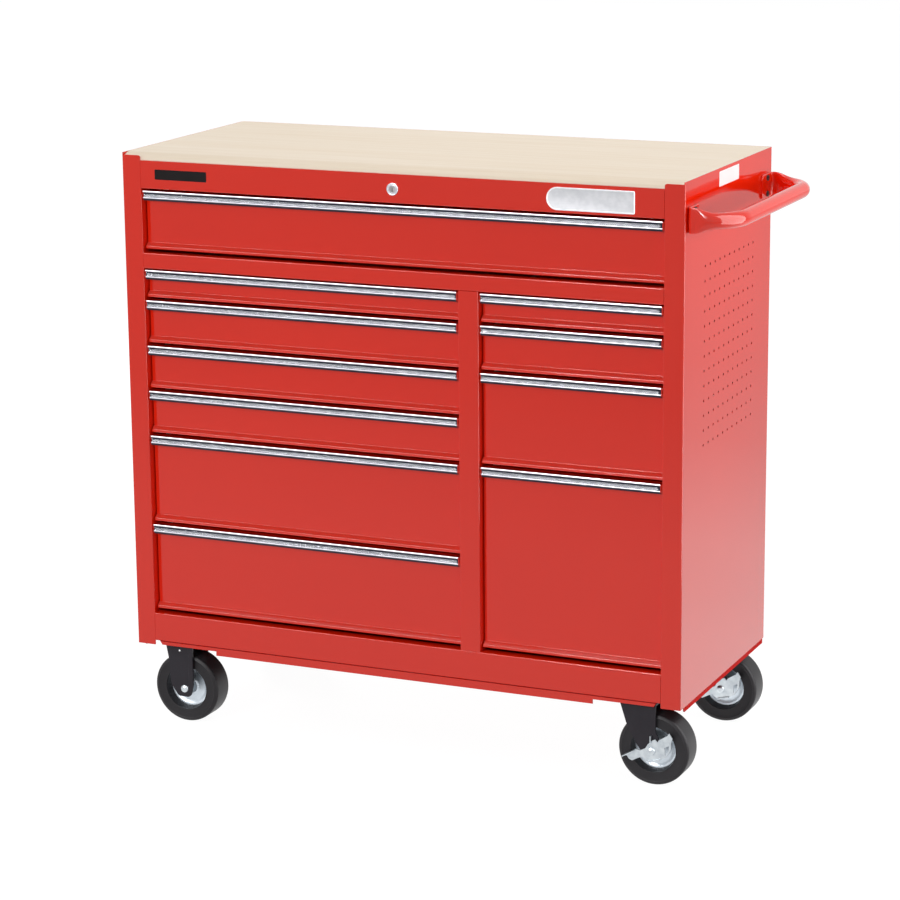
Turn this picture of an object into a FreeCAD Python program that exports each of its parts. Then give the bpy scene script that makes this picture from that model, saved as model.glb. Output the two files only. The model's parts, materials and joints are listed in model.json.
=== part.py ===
import FreeCAD, Part
import math
import os
import Sketcher

# A rolling steel tool chest: a folded sheet cabinet with eleven drawers, a wooden top, a tubular
# side handle, a lock that drops one bar behind all the drawers, and four casters.
# Millimetres. X runs to the viewer's right, Y runs from the drawer fronts to the back, Z is up.
# The pieces are drawn from the cabinet's own datum: the middle of its width, the front plane of
# its corner posts, and the floor. Each is then shifted so that the origin is the middle of the
# bounding box's underside.

document = FreeCAD.newDocument("rolling_tool_chest")
sizes = document.addObject("Spreadsheet::Sheet", "sizes")


# Lengths that remember their formula

class Size:
    """A number together with the formula of sheet cells that it comes from."""

    def __init__(self, number, formula):
        self.number = number
        self.formula = formula

    def __add__(self, other):
        return Size(self.number + number_of(other), f"({self.formula} + {formula_of(other)})")

    def __sub__(self, other):
        return Size(self.number - number_of(other), f"({self.formula} - {formula_of(other)})")

    def __mul__(self, other):
        return Size(self.number * number_of(other), f"({self.formula} * {formula_of(other)})")

    def __truediv__(self, other):
        return Size(self.number / number_of(other), f"({self.formula} / {formula_of(other)})")

    def __radd__(self, other):
        return self + other

    def __rmul__(self, other):
        return self * other

    def __rsub__(self, other):
        return Size(number_of(other) - self.number, f"({formula_of(other)} - {self.formula})")

    def __neg__(self):
        return Size(-self.number, f"(0 - {self.formula})")


def number_of(item):
    return item.number if isinstance(item, Size) else float(item)


def formula_of(item):
    return item.formula if isinstance(item, Size) else f"{float(item):.6g}"


def cell(alias, number):
    """One driving dimension: a plain number in the sheet with a name."""
    cell.row += 1
    sizes.set(f"A{cell.row}", alias)
    sizes.set(f"B{cell.row}", str(number))
    sizes.setAlias(f"B{cell.row}", alias)
    return Size(float(number), f"sizes.{alias}")


cell.row = 0


# Driving dimensions

cabinet_width = cell("cabinet_width", 1041)
cabinet_depth = cell("cabinet_depth", 457.2)
cabinet_height = cell("cabinet_height", 1041)
ground_gap = cell("ground_gap", 146)
sheet = cell("sheet", 1.0)
fold = cell("fold", 1.0)

post_width = cell("post_width", 36)
post_return = cell("post_return", 40)
post_drop = cell("post_drop", 4)
corner_round = cell("corner_round", 4)
rear_flange = cell("rear_flange", 16)
deck_level = cell("deck_level", 1025)
rail_inset = cell("rail_inset", 0.3)
rail_depth = cell("rail_depth", 22)
rail_return = cell("rail_return", 9)
lock_rail_top = cell("lock_rail_top", 1028.5)
lock_rail_bottom = cell("lock_rail_bottom", 979)
cross_rail_top = cell("cross_rail_top", 865.3)
cross_rail_bottom = cell("cross_rail_bottom", 837.5)
base_rail_top = cell("base_rail_top", 206)
base_rail_bottom = cell("base_rail_bottom", 155)
divider_left = cell("divider_left", 117.9)
divider_width = cell("divider_width", 37.3)
divider_depth = cell("divider_depth", 425)
wood_setback = cell("wood_setback", 2.3)
wood_gap = cell("wood_gap", 0.4)
wood_round = cell("wood_round", 2.5)

pan_plate = cell("pan_plate", 1.5)
skirt_bottom = cell("skirt_bottom", 138.5)
side_skirt_bottom = cell("side_skirt_bottom", 136)
side_skirt_start = cell("side_skirt_start", 22)
side_skirt_round = cell("side_skirt_round", 5)
skirt_notch_top = cell("skirt_notch_top", 146.5)
skirt_half = cell("skirt_half", 362)
skirt_end = cell("skirt_end", 472)
skirt_chamfer = cell("skirt_chamfer", 5)
skirt_inset = cell("skirt_inset", 0.6)

slot_module = cell("slot_module", 27.24)
top_pull_level = cell("top_pull_level", 975.4)
bank_pull_level = cell("bank_pull_level", 835)
front_gap = cell("front_gap", 4.7)
front_side_gap = cell("front_side_gap", 2)
front_recess = cell("front_recess", 16)
front_return = cell("front_return", 8)
return_end = cell("return_end", 28)
return_hem = cell("return_hem", 6)
lip_reach = cell("lip_reach", 8)
lip_height = cell("lip_height", 5)
lip_rise = cell("lip_rise", 6)
shelf_front = cell("shelf_front", 2)
shelf_lip = cell("shelf_lip", 13)
pull_side_gap = cell("pull_side_gap", 3.5)
pull_wall = cell("pull_wall", 1.2)
pull_height = cell("pull_height", 17.4)
pull_depth = cell("pull_depth", 8)
pull_grip = cell("pull_grip", 7)
pull_round = cell("pull_round", 3.2)
tray_depth = cell("tray_depth", 406)
tray_side_gap = cell("tray_side_gap", 13)
tray_above_lip = cell("tray_above_lip", 6)
tray_below_pull = cell("tray_below_pull", 9)
catch_width = cell("catch_width", 20)
catch_reach = cell("catch_reach", 15)
catch_height = cell("catch_height", 9)
catch_drop = cell("catch_drop", 16)
catch_plate = cell("catch_plate", 1.5)
catch_offset = cell("catch_offset", 30)

slide_start = cell("slide_start", 26)
slide_length = cell("slide_length", 400)
slide_drop = cell("slide_drop", 28)
channel_height = cell("channel_height", 36)
channel_lip = cell("channel_lip", 10.5)
runner_height = cell("runner_height", 26)
runner_lip = cell("runner_lip", 10)
slide_plate = cell("slide_plate", 1.2)
upright_front = cell("upright_front", 395)
upright_width = cell("upright_width", 30)

hole_pitch = cell("hole_pitch", 25.4)
hole_diameter = cell("hole_diameter", 4.8)
hole_first_y = cell("hole_first_y", 103)
hole_top_z = cell("hole_top_z", 887.5)

tube_diameter = cell("tube_diameter", 27)
handle_reach = cell("handle_reach", 89)
handle_level = cell("handle_level", 977.5)
handle_leg = cell("handle_leg", 10.6)
handle_bend = cell("handle_bend", 64)
foot_thickness = cell("foot_thickness", 4)
foot_height = cell("foot_height", 42.4)
foot_length = cell("foot_length", 52)
foot_round = cell("foot_round", 9)
screw_spread = cell("screw_spread", 28)
screw_inset = cell("screw_inset", 36.5)
screw_radius = cell("screw_radius", 2.5)
screw_head = cell("screw_head", 5)
screw_head_height = cell("screw_head_height", 2.4)

lock_level = cell("lock_level", 1003)
bezel_radius = cell("bezel_radius", 10.8)
bezel_proud = cell("bezel_proud", 2.2)
barrel_radius = cell("barrel_radius", 8.5)
barrel_length = cell("barrel_length", 24)
plug_radius = cell("plug_radius", 6)
lock_clearance = cell("lock_clearance", 0.05)
rod_side = cell("rod_side", 5)
rod_end = cell("rod_end", 436)
crank_radius = cell("crank_radius", 6.4)
crank_pin = cell("crank_pin", 2)
bar_front = cell("bar_front", 430)
bar_plate = cell("bar_plate", 2.5)
bar_width = cell("bar_width", 16)
bar_slack = cell("bar_slack", 0.8)
prong_height = cell("prong_height", 6)
tab_height = cell("tab_height", 14)
tab_lift = cell("tab_lift", 2.5)
guide_gap = cell("guide_gap", 0.6)
guide_height = cell("guide_height", 24)

plate_left = cell("plate_left", 278.5)
plate_length = cell("plate_length", 155.3)
plate_height = cell("plate_height", 38.4)
plate_thickness = cell("plate_thickness", 1.5)
plate_round = cell("plate_round", 3)

wheel_radius = cell("wheel_radius", 63.5)
wheel_width = cell("wheel_width", 48)
tread_round = cell("tread_round", 6.5)
tyre_mouth = cell("tyre_mouth", 41)
disc_radius = cell("disc_radius", 38)
disc_half = cell("disc_half", 11)
nave_radius = cell("nave_radius", 13)
wheel_bore_clearance = cell("wheel_bore_clearance", 0.06)
axle_radius = cell("axle_radius", 5)
axle_head = cell("axle_head", 7.2)
axle_head_height = cell("axle_head_height", 3.5)
caster_inset = cell("caster_inset", 45)
rigid_x = cell("rigid_x", -436)
swivel_x = cell("swivel_x", 430)
swivel_trail = cell("swivel_trail", 35)
fork_gap = cell("fork_gap", 27)
fork_plate = cell("fork_plate", 3)
rib_width = cell("rib_width", 9)
rib_proud = cell("rib_proud", 1.5)
mount_length = cell("mount_length", 92)
mount_width = cell("mount_width", 70)
mount_bolt_x = cell("mount_bolt_x", 74)
mount_bolt_y = cell("mount_bolt_y", 34)
bolt_radius = cell("bolt_radius", 4)
raceway_radius = cell("raceway_radius", 27)
raceway_drop = cell("raceway_drop", 5.5)
race_gap = cell("race_gap", 0.5)
king_radius = cell("king_radius", 6)
brake_gap = cell("brake_gap", 1.5)
brake_plate = cell("brake_plate", 2)
brake_shelf = cell("brake_shelf", 9)
brake_lip = cell("brake_lip", 3)

half_width = cabinet_width / 2
opening = half_width - post_width
divider_right = divider_left + divider_width
fold_outside = fold + sheet
wall_inside = half_width - sheet
back_front = cabinet_depth - sheet
front_y = 0 * sheet
shift_x = -handle_reach / 2
shift_y = -(cabinet_depth - bezel_proud) / 2


# Helpers

PLANES = {"top": "XY_Plane", "front": "XZ_Plane", "side": "YZ_Plane"}
AXES = {"X": (FreeCAD.Vector(1, 0, 0), "y", "z"),
        "Y": (FreeCAD.Vector(0, 1, 0), "x", "z"),
        "Z": (FreeCAD.Vector(0, 0, 1), "x", "y")}
nodes = []


def hold(item, path, size):
    """Bind one property to its formula in the sheet."""
    item.setExpression(path, formula_of(size))


def keep(item, name):
    """Name a finished piece and put it on the list of pieces to write."""
    item.Label = name
    nodes.append(item)
    return item


def new_body(name, x=0.0, y=0.0, z=0.0):
    """A body whose own datum is the cabinet's, moved by x, y and z where a piece repeats."""
    body = document.addObject("PartDesign::Body", name)
    hold(body, "Placement.Base.x", shift_x + x)
    hold(body, "Placement.Base.y", shift_y + y)
    hold(body, "Placement.Base.z", front_y + z)
    return body


def group(name, members):
    """Separate solids that share one file."""
    compound = document.addObject("Part::Compound", name)
    compound.Links = members
    return keep(compound, name)


def draw(body, view, offset=0.0):
    """A drawing on one of the body's own planes, offset along +X, +Y or +Z."""
    drawing = body.newObject("Sketcher::SketchObject", f"{body.Name}_drawing")
    plane = [feature for feature in body.Origin.OriginFeatures if feature.Role == PLANES[view]]
    drawing.AttachmentSupport = [(plane[0], "")]
    drawing.MapMode = "FlatFace"
    along = front_y + offset
    hold(drawing, "AttachmentOffset.Base.z", -along if view == "front" else along)
    return drawing


def pin_point(drawing, element, end, across, up):
    """Hold a point of the drawing at its two distances from the drawing's origin."""
    for kind, size in (("DistanceX", across), ("DistanceY", up)):
        index = drawing.addConstraint(Sketcher.Constraint(kind, -1, 1, element, end, number_of(size)))
        hold(drawing, f"Constraints[{index}]", size)


def outline(drawing, corners):
    """A closed loop of straight lines through corners given as (across, up)."""
    count = len(corners)
    spots = [FreeCAD.Vector(number_of(a), number_of(b), 0) for a, b in corners]
    first = drawing.GeometryCount
    lines = [Part.LineSegment(spots[i], spots[(i + 1) % count]) for i in range(count)]
    drawing.addGeometry(lines, False)
    for i in range(count):
        drawing.addConstraint(Sketcher.Constraint("Coincident", first + i, 2, first + (i + 1) % count, 1))
    for i, (across, up) in enumerate(corners):
        pin_point(drawing, first + i, 1, across, up)


def rectangle(drawing, left, right, low, high):
    outline(drawing, [(left, low), (right, low), (right, high), (left, high)])


def circle(drawing, across, up, radius):
    centre = FreeCAD.Vector(number_of(across), number_of(up), 0)
    element = drawing.addGeometry(Part.Circle(centre, FreeCAD.Vector(0, 0, 1), number_of(radius)), False)
    index = drawing.addConstraint(Sketcher.Constraint("Radius", element, number_of(radius)))
    hold(drawing, f"Constraints[{index}]", radius)
    pin_point(drawing, element, 3, across, up)


def pad(body, drawing, length):
    """Material from the drawing towards +X, +Y or +Z."""
    feature = body.newObject("PartDesign::Pad", f"{body.Name}_pad")
    feature.Profile = drawing
    feature.Reversed = drawing.AttachmentSupport[0][0].Role == PLANES["front"]
    hold(feature, "Length", length)
    body.Tip = feature
    document.recompute()
    return feature


def pocket(body, drawing, length):
    """A cut from the drawing towards +X, +Y or +Z, which has to take something away."""
    before = body.Tip.Shape.Volume
    feature = body.newObject("PartDesign::Pocket", f"{body.Name}_pocket")
    feature.Profile = drawing
    feature.Reversed = drawing.AttachmentSupport[0][0].Role != PLANES["front"]
    hold(feature, "Length", length)
    body.Tip = feature
    document.recompute()
    if feature.Shape.Volume >= before - 1e-3:
        raise ValueError(f"{feature.Name} cuts nothing")
    return feature


def revolve(body, drawing, axis):
    """A full turn of the drawing about its own vertical or horizontal axis."""
    feature = body.newObject("PartDesign::Revolution", f"{body.Name}_turning")
    feature.Profile = drawing
    feature.ReferenceAxis = (drawing, [axis])
    feature.Angle = 360
    body.Tip = feature
    document.recompute()
    return feature


def edges_at(shape, axis, spots):
    """Names of the straight edges along an axis that pass through the given pairs of coordinates."""
    direction, one, two = AXES[axis]
    wanted = [(number_of(a), number_of(b)) for a, b in spots]
    names = []
    for index, edge in enumerate(shape.Edges, start=1):
        if not isinstance(edge.Curve, (Part.Line, Part.LineSegment)):
            continue
        if abs(edge.tangentAt(edge.FirstParameter).dot(direction)) < 0.999:
            continue
        start = edge.Vertexes[0].Point
        if any(math.dist((getattr(start, one), getattr(start, two)), spot) < 0.02 for spot in wanted):
            names.append(f"Edge{index}")
    return names


def soften(body, axis, spots, radius, kind="PartDesign::Fillet"):
    """Round, or with a chamfer bevel, the edges along an axis at the given spots."""
    base = body.Tip
    names = edges_at(base.Shape, axis, spots)
    if not names:
        raise ValueError(f"{body.Name} has no edge there")
    feature = body.newObject(kind, f"{body.Name}_edge")
    feature.Base = (base, names)
    hold(feature, "Radius" if kind == "PartDesign::Fillet" else "Size", radius)
    body.Tip = feature
    document.recompute()
    return feature


def bend(body, axis, outer, inner):
    """Give folded sheet its bend radius, outside and inside."""
    soften(body, axis, outer, fold_outside)
    soften(body, axis, inner, fold)


# Cabinet shell

def side_panel(name, side):
    """Side wall, front post and post return in one folded sheet; side is +1 right, -1 left."""
    body = new_body(name)
    wall = side * half_width
    wall_in = side * wall_inside
    post = side * opening
    post_in = side * (opening + sheet)
    flange = side * (half_width - rear_flange)
    rear = back_front
    section = draw(body, "top", ground_gap)
    outline(section, [(wall, front_y), (wall, rear), (flange, rear), (flange, rear - sheet),
                      (wall_in, rear - sheet), (wall_in, sheet), (post_in, sheet), (post_in, post_return),
                      (post, post_return), (post, front_y)])
    pad(body, section, cabinet_height - ground_gap)
    bend(body, "Z", [(wall, front_y), (wall, rear), (post, front_y)],
         [(wall_in, sheet), (wall_in, rear - sheet), (post_in, sheet)])

    post_top = draw(body, "front", -1)
    level = cabinet_height - post_drop
    bevel = corner_round * 0.3
    far = side * (half_width - fold_outside)
    outline(post_top, [(post - side, cabinet_height + 1), (post - side, level - corner_round),
                       (post, level - corner_round), (post + side * bevel, level - bevel),
                       (post + side * corner_round, level), (far, level), (far, cabinet_height + 1)])
    pocket(body, post_top, sheet + fold + 2)

    for height, top in ((deck_level, cabinet_height + 1), (ground_gap - 1, base_rail_bottom + pan_plate)):
        inner_fold = draw(body, "front", sheet)
        near, far = sorted([post - side, side * (opening + fold_outside + 1)], key=number_of)
        rectangle(inner_fold, near, far, height, top)
        pocket(body, inner_fold, post_return)
        back_fold = draw(body, "front", rear - sheet - fold)
        near, far = sorted([flange - side, side * (wall_inside - fold)], key=number_of)
        rectangle(back_fold, near, far, height, top)
        pocket(body, back_fold, sheet + fold + 1)

    return body


def perforate(body):
    """Hanging holes on a square pitch, and the four holes of the handle."""
    first = draw(body, "side", wall_inside - 1)
    circle(first, hole_first_y, hole_top_z, hole_diameter / 2)
    hole = pocket(body, first, sheet + 2)
    pattern = body.newObject("PartDesign::MultiTransform", f"{body.Name}_holes")
    pattern.Originals = [hole]
    steps = []
    for plane_axis, count, back in (("H_Axis", 11, False), ("V_Axis", 13, True)):
        step = document.addObject("PartDesign::LinearPattern", f"{body.Name}_step")
        body.addObject(step)
        step.Direction = (first, [plane_axis])
        step.Reversed = back
        step.Occurrences = count
        hold(step, "Length", (count - 1) * hole_pitch)
        steps.append(step)
    pattern.Transformations = steps
    body.Tip = pattern
    document.recompute()
    screws = draw(body, "side", wall_inside - 1)
    for across in (screw_inset, cabinet_depth - screw_inset):
        for up in (handle_level - screw_spread / 2, handle_level + screw_spread / 2):
            circle(screws, across, up, screw_radius)
    pocket(body, screws, sheet + 2)


def rail(name, low, high, top_flange, bottom_flange):
    """A front rail between the posts: a face with folded flanges behind it."""
    body = new_body(name)
    face, back = rail_inset, rail_inset + sheet
    deep = rail_depth
    spots = [(face, low)]
    outer, inner = [], []
    if bottom_flange:
        spots += [(deep, low), (deep, low + rail_return), (deep - sheet, low + rail_return),
                  (deep - sheet, low + sheet)]
        outer += [(face, low), (deep, low)]
        inner += [(back, low + sheet), (deep - sheet, low + sheet)]
    spots += [(back, low + sheet if bottom_flange else low)]
    if top_flange:
        spots += [(back, high - sheet), (deep - sheet, high - sheet), (deep - sheet, high - rail_return),
                  (deep, high - rail_return), (deep, high)]
        outer += [(face, high), (deep, high)]
        inner += [(back, high - sheet), (deep - sheet, high - sheet)]
    spots += [(face, high)] if top_flange else [(back, high), (face, high)]
    section = draw(body, "side", -opening)
    outline(section, spots)
    pad(body, section, 2 * opening)
    bend(body, "X", outer, inner)
    return keep(body, name)


left_side = side_panel("left_side_panel", -1)
keep(left_side, "left_side_panel")
right_side = side_panel("right_side_panel", 1)
perforate(right_side)
keep(right_side, "right_side_panel")

back_panel = new_body("back_panel")
back_outline = draw(back_panel, "front", back_front)
rectangle(back_outline, -half_width + fold, half_width - fold, ground_gap, cabinet_height)
pad(back_panel, back_outline, sheet)
keep(back_panel, "back_panel")

lock_rail = rail("lock_rail", lock_rail_bottom, lock_rail_top, False, True)
lock_hole = draw(lock_rail, "front", front_y)
circle(lock_hole, front_y, lock_level, barrel_radius)
pocket(lock_rail, lock_hole, 3 * sheet)
rail("cross_rail", cross_rail_bottom, cross_rail_top, True, True)
rail("base_rail", base_rail_bottom, base_rail_top, True, False)


def deck():
    """The sheet that carries the wooden top, folded down along both sides."""
    body = new_body("top_deck")
    section = draw(body, "front", post_return + 4)
    edge = wall_inside
    drop = deck_level - 14
    outline(section, [(-edge, drop), (-edge + sheet, drop), (-edge + sheet, deck_level),
                      (edge - sheet, deck_level), (edge - sheet, drop), (edge, drop),
                      (edge, deck_level + sheet), (-edge, deck_level + sheet)])
    pad(body, section, back_front - sheet - rear_flange - post_return - 4)
    rear_edge = edge - fold_outside
    for half, start, end in ((edge, 3 * sheet, post_return + 4),
                             (rear_edge, back_front - sheet - rear_flange, back_front)):
        strip = draw(body, "top", deck_level)
        rectangle(strip, -half, half, start, end)
        pad(body, strip, sheet)
    return keep(body, "top_deck")


deck()

wood_top = new_body("wood_top")
wood_outline = draw(wood_top, "top", deck_level + sheet)
wood_half = wall_inside - wood_gap
rectangle(wood_outline, -wood_half, wood_half, wood_setback, back_front - wood_gap)
pad(wood_top, wood_outline, cabinet_height - deck_level - sheet)
wood_rear = back_front - wood_gap
soften(wood_top, "Z", [(-wood_half, wood_rear), (wood_half, wood_rear)], wood_round)
soften(wood_top, "X", [(wood_setback, cabinet_height)], wood_round)
keep(wood_top, "wood_top")


def center_divider():
    """The post between the two banks, with walls that run to the back to carry slides."""
    body = new_body("center_divider")
    left, right = divider_left, divider_right
    section = draw(body, "top", base_rail_top)
    outline(section, [(left, front_y), (right, front_y), (right, divider_depth),
                      (right - sheet, divider_depth), (right - sheet, sheet), (left + sheet, sheet),
                      (left + sheet, divider_depth), (left, divider_depth)])
    pad(body, section, cross_rail_bottom - base_rail_top)
    bend(body, "Z", [(left, front_y), (right, front_y)], [(left + sheet, sheet), (right - sheet, sheet)])
    return keep(body, "center_divider")


center_divider()


def base_pan():
    """The floor of the cabinet with a skirt folded down all round, notched over the casters."""
    body = new_body("base_pan")
    edge = wall_inside - skirt_inset
    front = 2 * sheet
    rear = back_front - sheet - 1
    floor_top = base_rail_bottom + pan_plate
    slab = draw(body, "top", side_skirt_bottom)
    rectangle(slab, -edge, edge, front, rear)
    pad(body, slab, floor_top - side_skirt_bottom)
    hollow = draw(body, "top", side_skirt_bottom)
    rectangle(hollow, -edge + pan_plate, edge - pan_plate, front + pan_plate, rear - pan_plate)
    pocket(body, hollow, base_rail_bottom - side_skirt_bottom)
    trim = draw(body, "top", side_skirt_bottom)
    rectangle(trim, -edge + pan_plate, edge - pan_plate, front - 1, rear + 1)
    pocket(body, trim, skirt_bottom - side_skirt_bottom)
    low, high = side_skirt_bottom - 1, base_rail_bottom - fold
    for side in (-1, 1):
        for start, deep in ((front_y, front + pan_plate), (rear - pan_plate, pan_plate + 1)):
            notch = draw(body, "front", start)
            outline(notch, [(side * skirt_half, low), (side * skirt_half, skirt_notch_top),
                            (side * skirt_end, skirt_notch_top),
                            (side * (skirt_end + skirt_chamfer), high),
                            (side * (edge + 1), high), (side * (edge + 1), low)])
            pocket(body, notch, deep)
        corner = draw(body, "side", edge - pan_plate - 1 if side > 0 else -edge - 1)
        rectangle(corner, front_y, side_skirt_start, low, high)
        pocket(body, corner, pan_plate + 2)
    soften(body, "Y", [(-edge, floor_top), (edge, floor_top)], fold_outside)
    soften(body, "X", [(side_skirt_start, side_skirt_bottom)], side_skirt_round)
    return keep(body, "base_pan")


base_pan()


def upright(side):
    """A channel behind each side wall's post, which carries the back ends of the slides."""
    body = new_body("upright_left" if side < 0 else "upright_right")
    near, web, wall = side * opening, side * (opening + sheet), side * wall_inside
    front, rear = upright_front, upright_front + upright_width
    section = draw(body, "top", base_rail_bottom + pan_plate)
    outline(section, [(wall, front), (near, front), (near, rear), (wall, rear), (wall, rear - sheet),
                      (web, rear - sheet), (web, front + sheet), (wall, front + sheet)])
    pad(body, section, deck_level - base_rail_bottom - pan_plate - 16)
    bend(body, "Z", [(near, front), (near, rear)], [(web, front + sheet), (web, rear - sheet)])
    return body


group("slide_uprights", [upright(-1), upright(1)])


# Drawers

def drawer_plan():
    """Each drawer's name, its opening's two sides, the top of its pull and its height in modules."""
    plan = [("top", -opening, opening, top_pull_level, 4, divider_left - catch_offset)]
    banks = (("left", -opening, divider_left, (2, 3, 3, 3, 6, 6), divider_left - catch_offset),
             ("right", divider_right, opening, (2, 3, 6, 12), divider_right + catch_offset))
    for bank, left, right, heights, catch in banks:
        passed = 0
        for place, modules in enumerate(heights, start=1):
            level = bank_pull_level - passed * slot_module
            plan.append((f"{bank}_{place}", left, right, level, modules, catch))
            passed += modules
    return plan


def slide_section(name, edge, inward, level, height, lip, start, length, web_at, mouth):
    """One pressed slide member: a web and two lips, drawn as seen from the front."""
    body = new_body(name)
    low, high = level - height / 2, level + height / 2
    web = edge + inward * web_at
    web_in = web + inward * mouth * slide_plate
    tip = web + inward * mouth * lip
    section = draw(body, "front", start)
    outline(section, [(web, low), (tip, low), (tip, low + slide_plate), (web_in, low + slide_plate),
                      (web_in, high - slide_plate), (tip, high - slide_plate), (tip, high), (web, high)])
    pad(body, section, length)
    return body


def drawer_box(name, left, right, pull_top, modules):
    """A drawer front with its rolled lip, pull shelf and top return, welded to a folded tray."""
    body = new_body(f"{name}_tray")
    face_left, face_right = left + front_side_gap, right - front_side_gap
    face, rear = front_recess, front_recess + sheet
    low = pull_top - modules * slot_module + front_gap
    shelf = pull_top - pull_wall - 0.1
    lip = front_recess - lip_reach
    slope_low, slope_high = low + lip_height, low + lip_height + lip_rise
    miter = sheet / 2
    skin = draw(body, "side", face_left)
    outline(skin, [(face, low), (lip, low), (lip, slope_low), (face, slope_high), (face, shelf - sheet),
                   (shelf_front + sheet, shelf - sheet), (shelf_front + sheet, shelf - shelf_lip),
                   (shelf_front, shelf - shelf_lip), (shelf_front, shelf), (return_end, shelf),
                   (return_end, shelf - return_hem), (return_end - sheet, shelf - return_hem),
                   (return_end - sheet, shelf - sheet), (rear, shelf - sheet),
                   (rear, slope_high - miter), (lip + sheet, slope_low - miter),
                   (lip + sheet, low + sheet), (face, low + sheet)])
    pad(body, skin, face_right - face_left)
    bend(body, "X", [(lip, low), (lip, slope_low), (shelf_front, shelf), (return_end, shelf),
                     (rear, slope_high - miter)],
         [(lip + sheet, low + sheet), (lip + sheet, slope_low - miter), (face, slope_high),
          (return_end - sheet, shelf - sheet)])

    for start, end in ((face_left, face_left + sheet), (face_right - sheet, face_right)):
        ear = draw(body, "side", start)
        rectangle(ear, face, face + front_return, slope_high, shelf - sheet)
        pad(body, ear, end - start)

    tray_left, tray_right = left + tray_side_gap, right - tray_side_gap
    tray_rear = rear + tray_depth
    tray_low, tray_high = low + tray_above_lip, pull_top - tray_below_pull
    block = draw(body, "top", tray_low)
    rectangle(block, tray_left, tray_right, rear, tray_rear)
    pad(body, block, tray_high - tray_low)
    hollow = draw(body, "top", tray_low + sheet)
    rectangle(hollow, tray_left + sheet, tray_right - sheet, rear + sheet, tray_rear - sheet)
    pocket(body, hollow, tray_high - tray_low)
    soften(body, "Y", [(tray_left, tray_low), (tray_right, tray_low)], fold_outside)
    soften(body, "Y", [(tray_left + sheet, tray_low + sheet), (tray_right - sheet, tray_low + sheet)], fold)

    return body


def drawer_catch(name, pull_top, catch):
    """A tongue welded behind the tray and the upright tooth at its end, which the lock bar holds."""
    tray_rear = front_recess + sheet + tray_depth
    low = pull_top - tray_below_pull - catch_drop
    end = tray_rear + catch_reach
    pieces = []
    for part_name, start, stop, bottom, top in (
            ("tongue", tray_rear, end, low, low + sheet),
            ("tooth", end - catch_plate, end, low + sheet, low + catch_height)):
        piece = new_body(f"{name}_{part_name}")
        section = draw(piece, "side", catch - catch_width / 2)
        rectangle(section, start, stop, bottom, top)
        pad(piece, section, catch_width)
        pieces.append(piece)
    return pieces


def drawer_pull(name, left, right, pull_top):
    """The bright pull that covers the shelf along the whole drawer and turns under for fingers."""
    body = new_body(name)
    wall = pull_wall
    low = pull_top - pull_height
    section = draw(body, "side", left + pull_side_gap)
    outline(section, [(pull_depth, pull_top), (front_y, pull_top), (front_y, low), (pull_grip, low),
                      (pull_grip, low + wall), (wall, low + wall), (wall, pull_top - wall),
                      (pull_depth, pull_top - wall)])
    pad(body, section, right - left - 2 * pull_side_gap)
    soften(body, "X", [(front_y, pull_top), (front_y, low)], pull_round)
    soften(body, "X", [(wall, low + wall), (wall, pull_top - wall)], pull_round - pull_wall)
    return keep(body, name)


channels = []
for name, left, right, pull_top, modules, catch in drawer_plan():
    tray = drawer_box(f"drawer_{name}", left, right, pull_top, modules)
    level = pull_top - slide_drop
    runners = []
    for side, edge, inward in (("left", left, 1), ("right", right, -1)):
        channels.append(slide_section(f"channel_{name}_{side}", edge, inward, level, channel_height,
                                      channel_lip, slide_start, slide_length, 0, 1))
        runners.append(slide_section(f"runner_{name}_{side}", edge, inward, level, runner_height,
                                     runner_lip, slide_start, slide_length - 8, tray_side_gap, -1))
    group(f"drawer_{name}_box", [tray] + runners + drawer_catch(f"catch_{name}", pull_top, catch))
    drawer_pull(f"drawer_{name}_pull", left, right, pull_top)
group("slide_channels", channels)


# Lock

def lock_parts():
    """The fixed barrel with its bezel, the plug with its keyway, and the rod with a crank."""
    barrel = new_body("lock_housing")
    bezel = draw(barrel, "front", -bezel_proud)
    circle(bezel, front_y, lock_level, bezel_radius)
    pad(barrel, bezel, bezel_proud + rail_inset)
    shank = draw(barrel, "front", rail_inset)
    circle(shank, front_y, lock_level, barrel_radius)
    pad(barrel, shank, barrel_length + sheet - rail_inset)
    bore = draw(barrel, "front", -bezel_proud - 1)
    circle(bore, front_y, lock_level, plug_radius)
    pocket(barrel, bore, barrel_length + bezel_proud + sheet + 2)
    keep(barrel, "lock_housing")

    plug = new_body("lock_plug")
    face = draw(plug, "front", -bezel_proud + 0.5)
    circle(face, front_y, lock_level, plug_radius - lock_clearance)
    pad(plug, face, barrel_length + bezel_proud + sheet)
    keyway = draw(plug, "front", -bezel_proud)
    slot_low, slot_high = lock_level - plug_radius * 0.7, lock_level + plug_radius * 0.5
    rectangle(keyway, -0.6 * sheet, 0.6 * sheet, slot_low, slot_high)
    pocket(plug, keyway, barrel_length / 2)
    keep(plug, "lock_plug")

    tail_start = barrel_length + sheet + 0.5
    arm_start = bar_front - bar_plate - 3
    half = rod_side / 2
    reach = crank_radius * math.sqrt(0.5)
    tail = new_body("lock_rod_tail")
    square = draw(tail, "front", tail_start)
    rectangle(square, -half, half, lock_level - half, lock_level + half)
    pad(tail, square, arm_start - tail_start)
    arm = new_body("lock_rod_arm")
    plate = draw(arm, "front", arm_start)
    outline(plate, [(-half, lock_level - half), (half, lock_level - half),
                    (reach + crank_pin, lock_level + reach - crank_pin),
                    (reach + crank_pin, lock_level + reach + crank_pin),
                    (reach - crank_pin, lock_level + reach + crank_pin), (-half, lock_level + half)])
    pad(arm, plate, 2 * sheet)
    pin = new_body("lock_rod_pin")
    stud = draw(pin, "front", arm_start + 2 * sheet)
    circle(stud, reach, lock_level + reach, crank_pin)
    pad(pin, stud, rod_end - arm_start - 2 * sheet)
    group("lock_rod", [tail, arm, pin])


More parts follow.
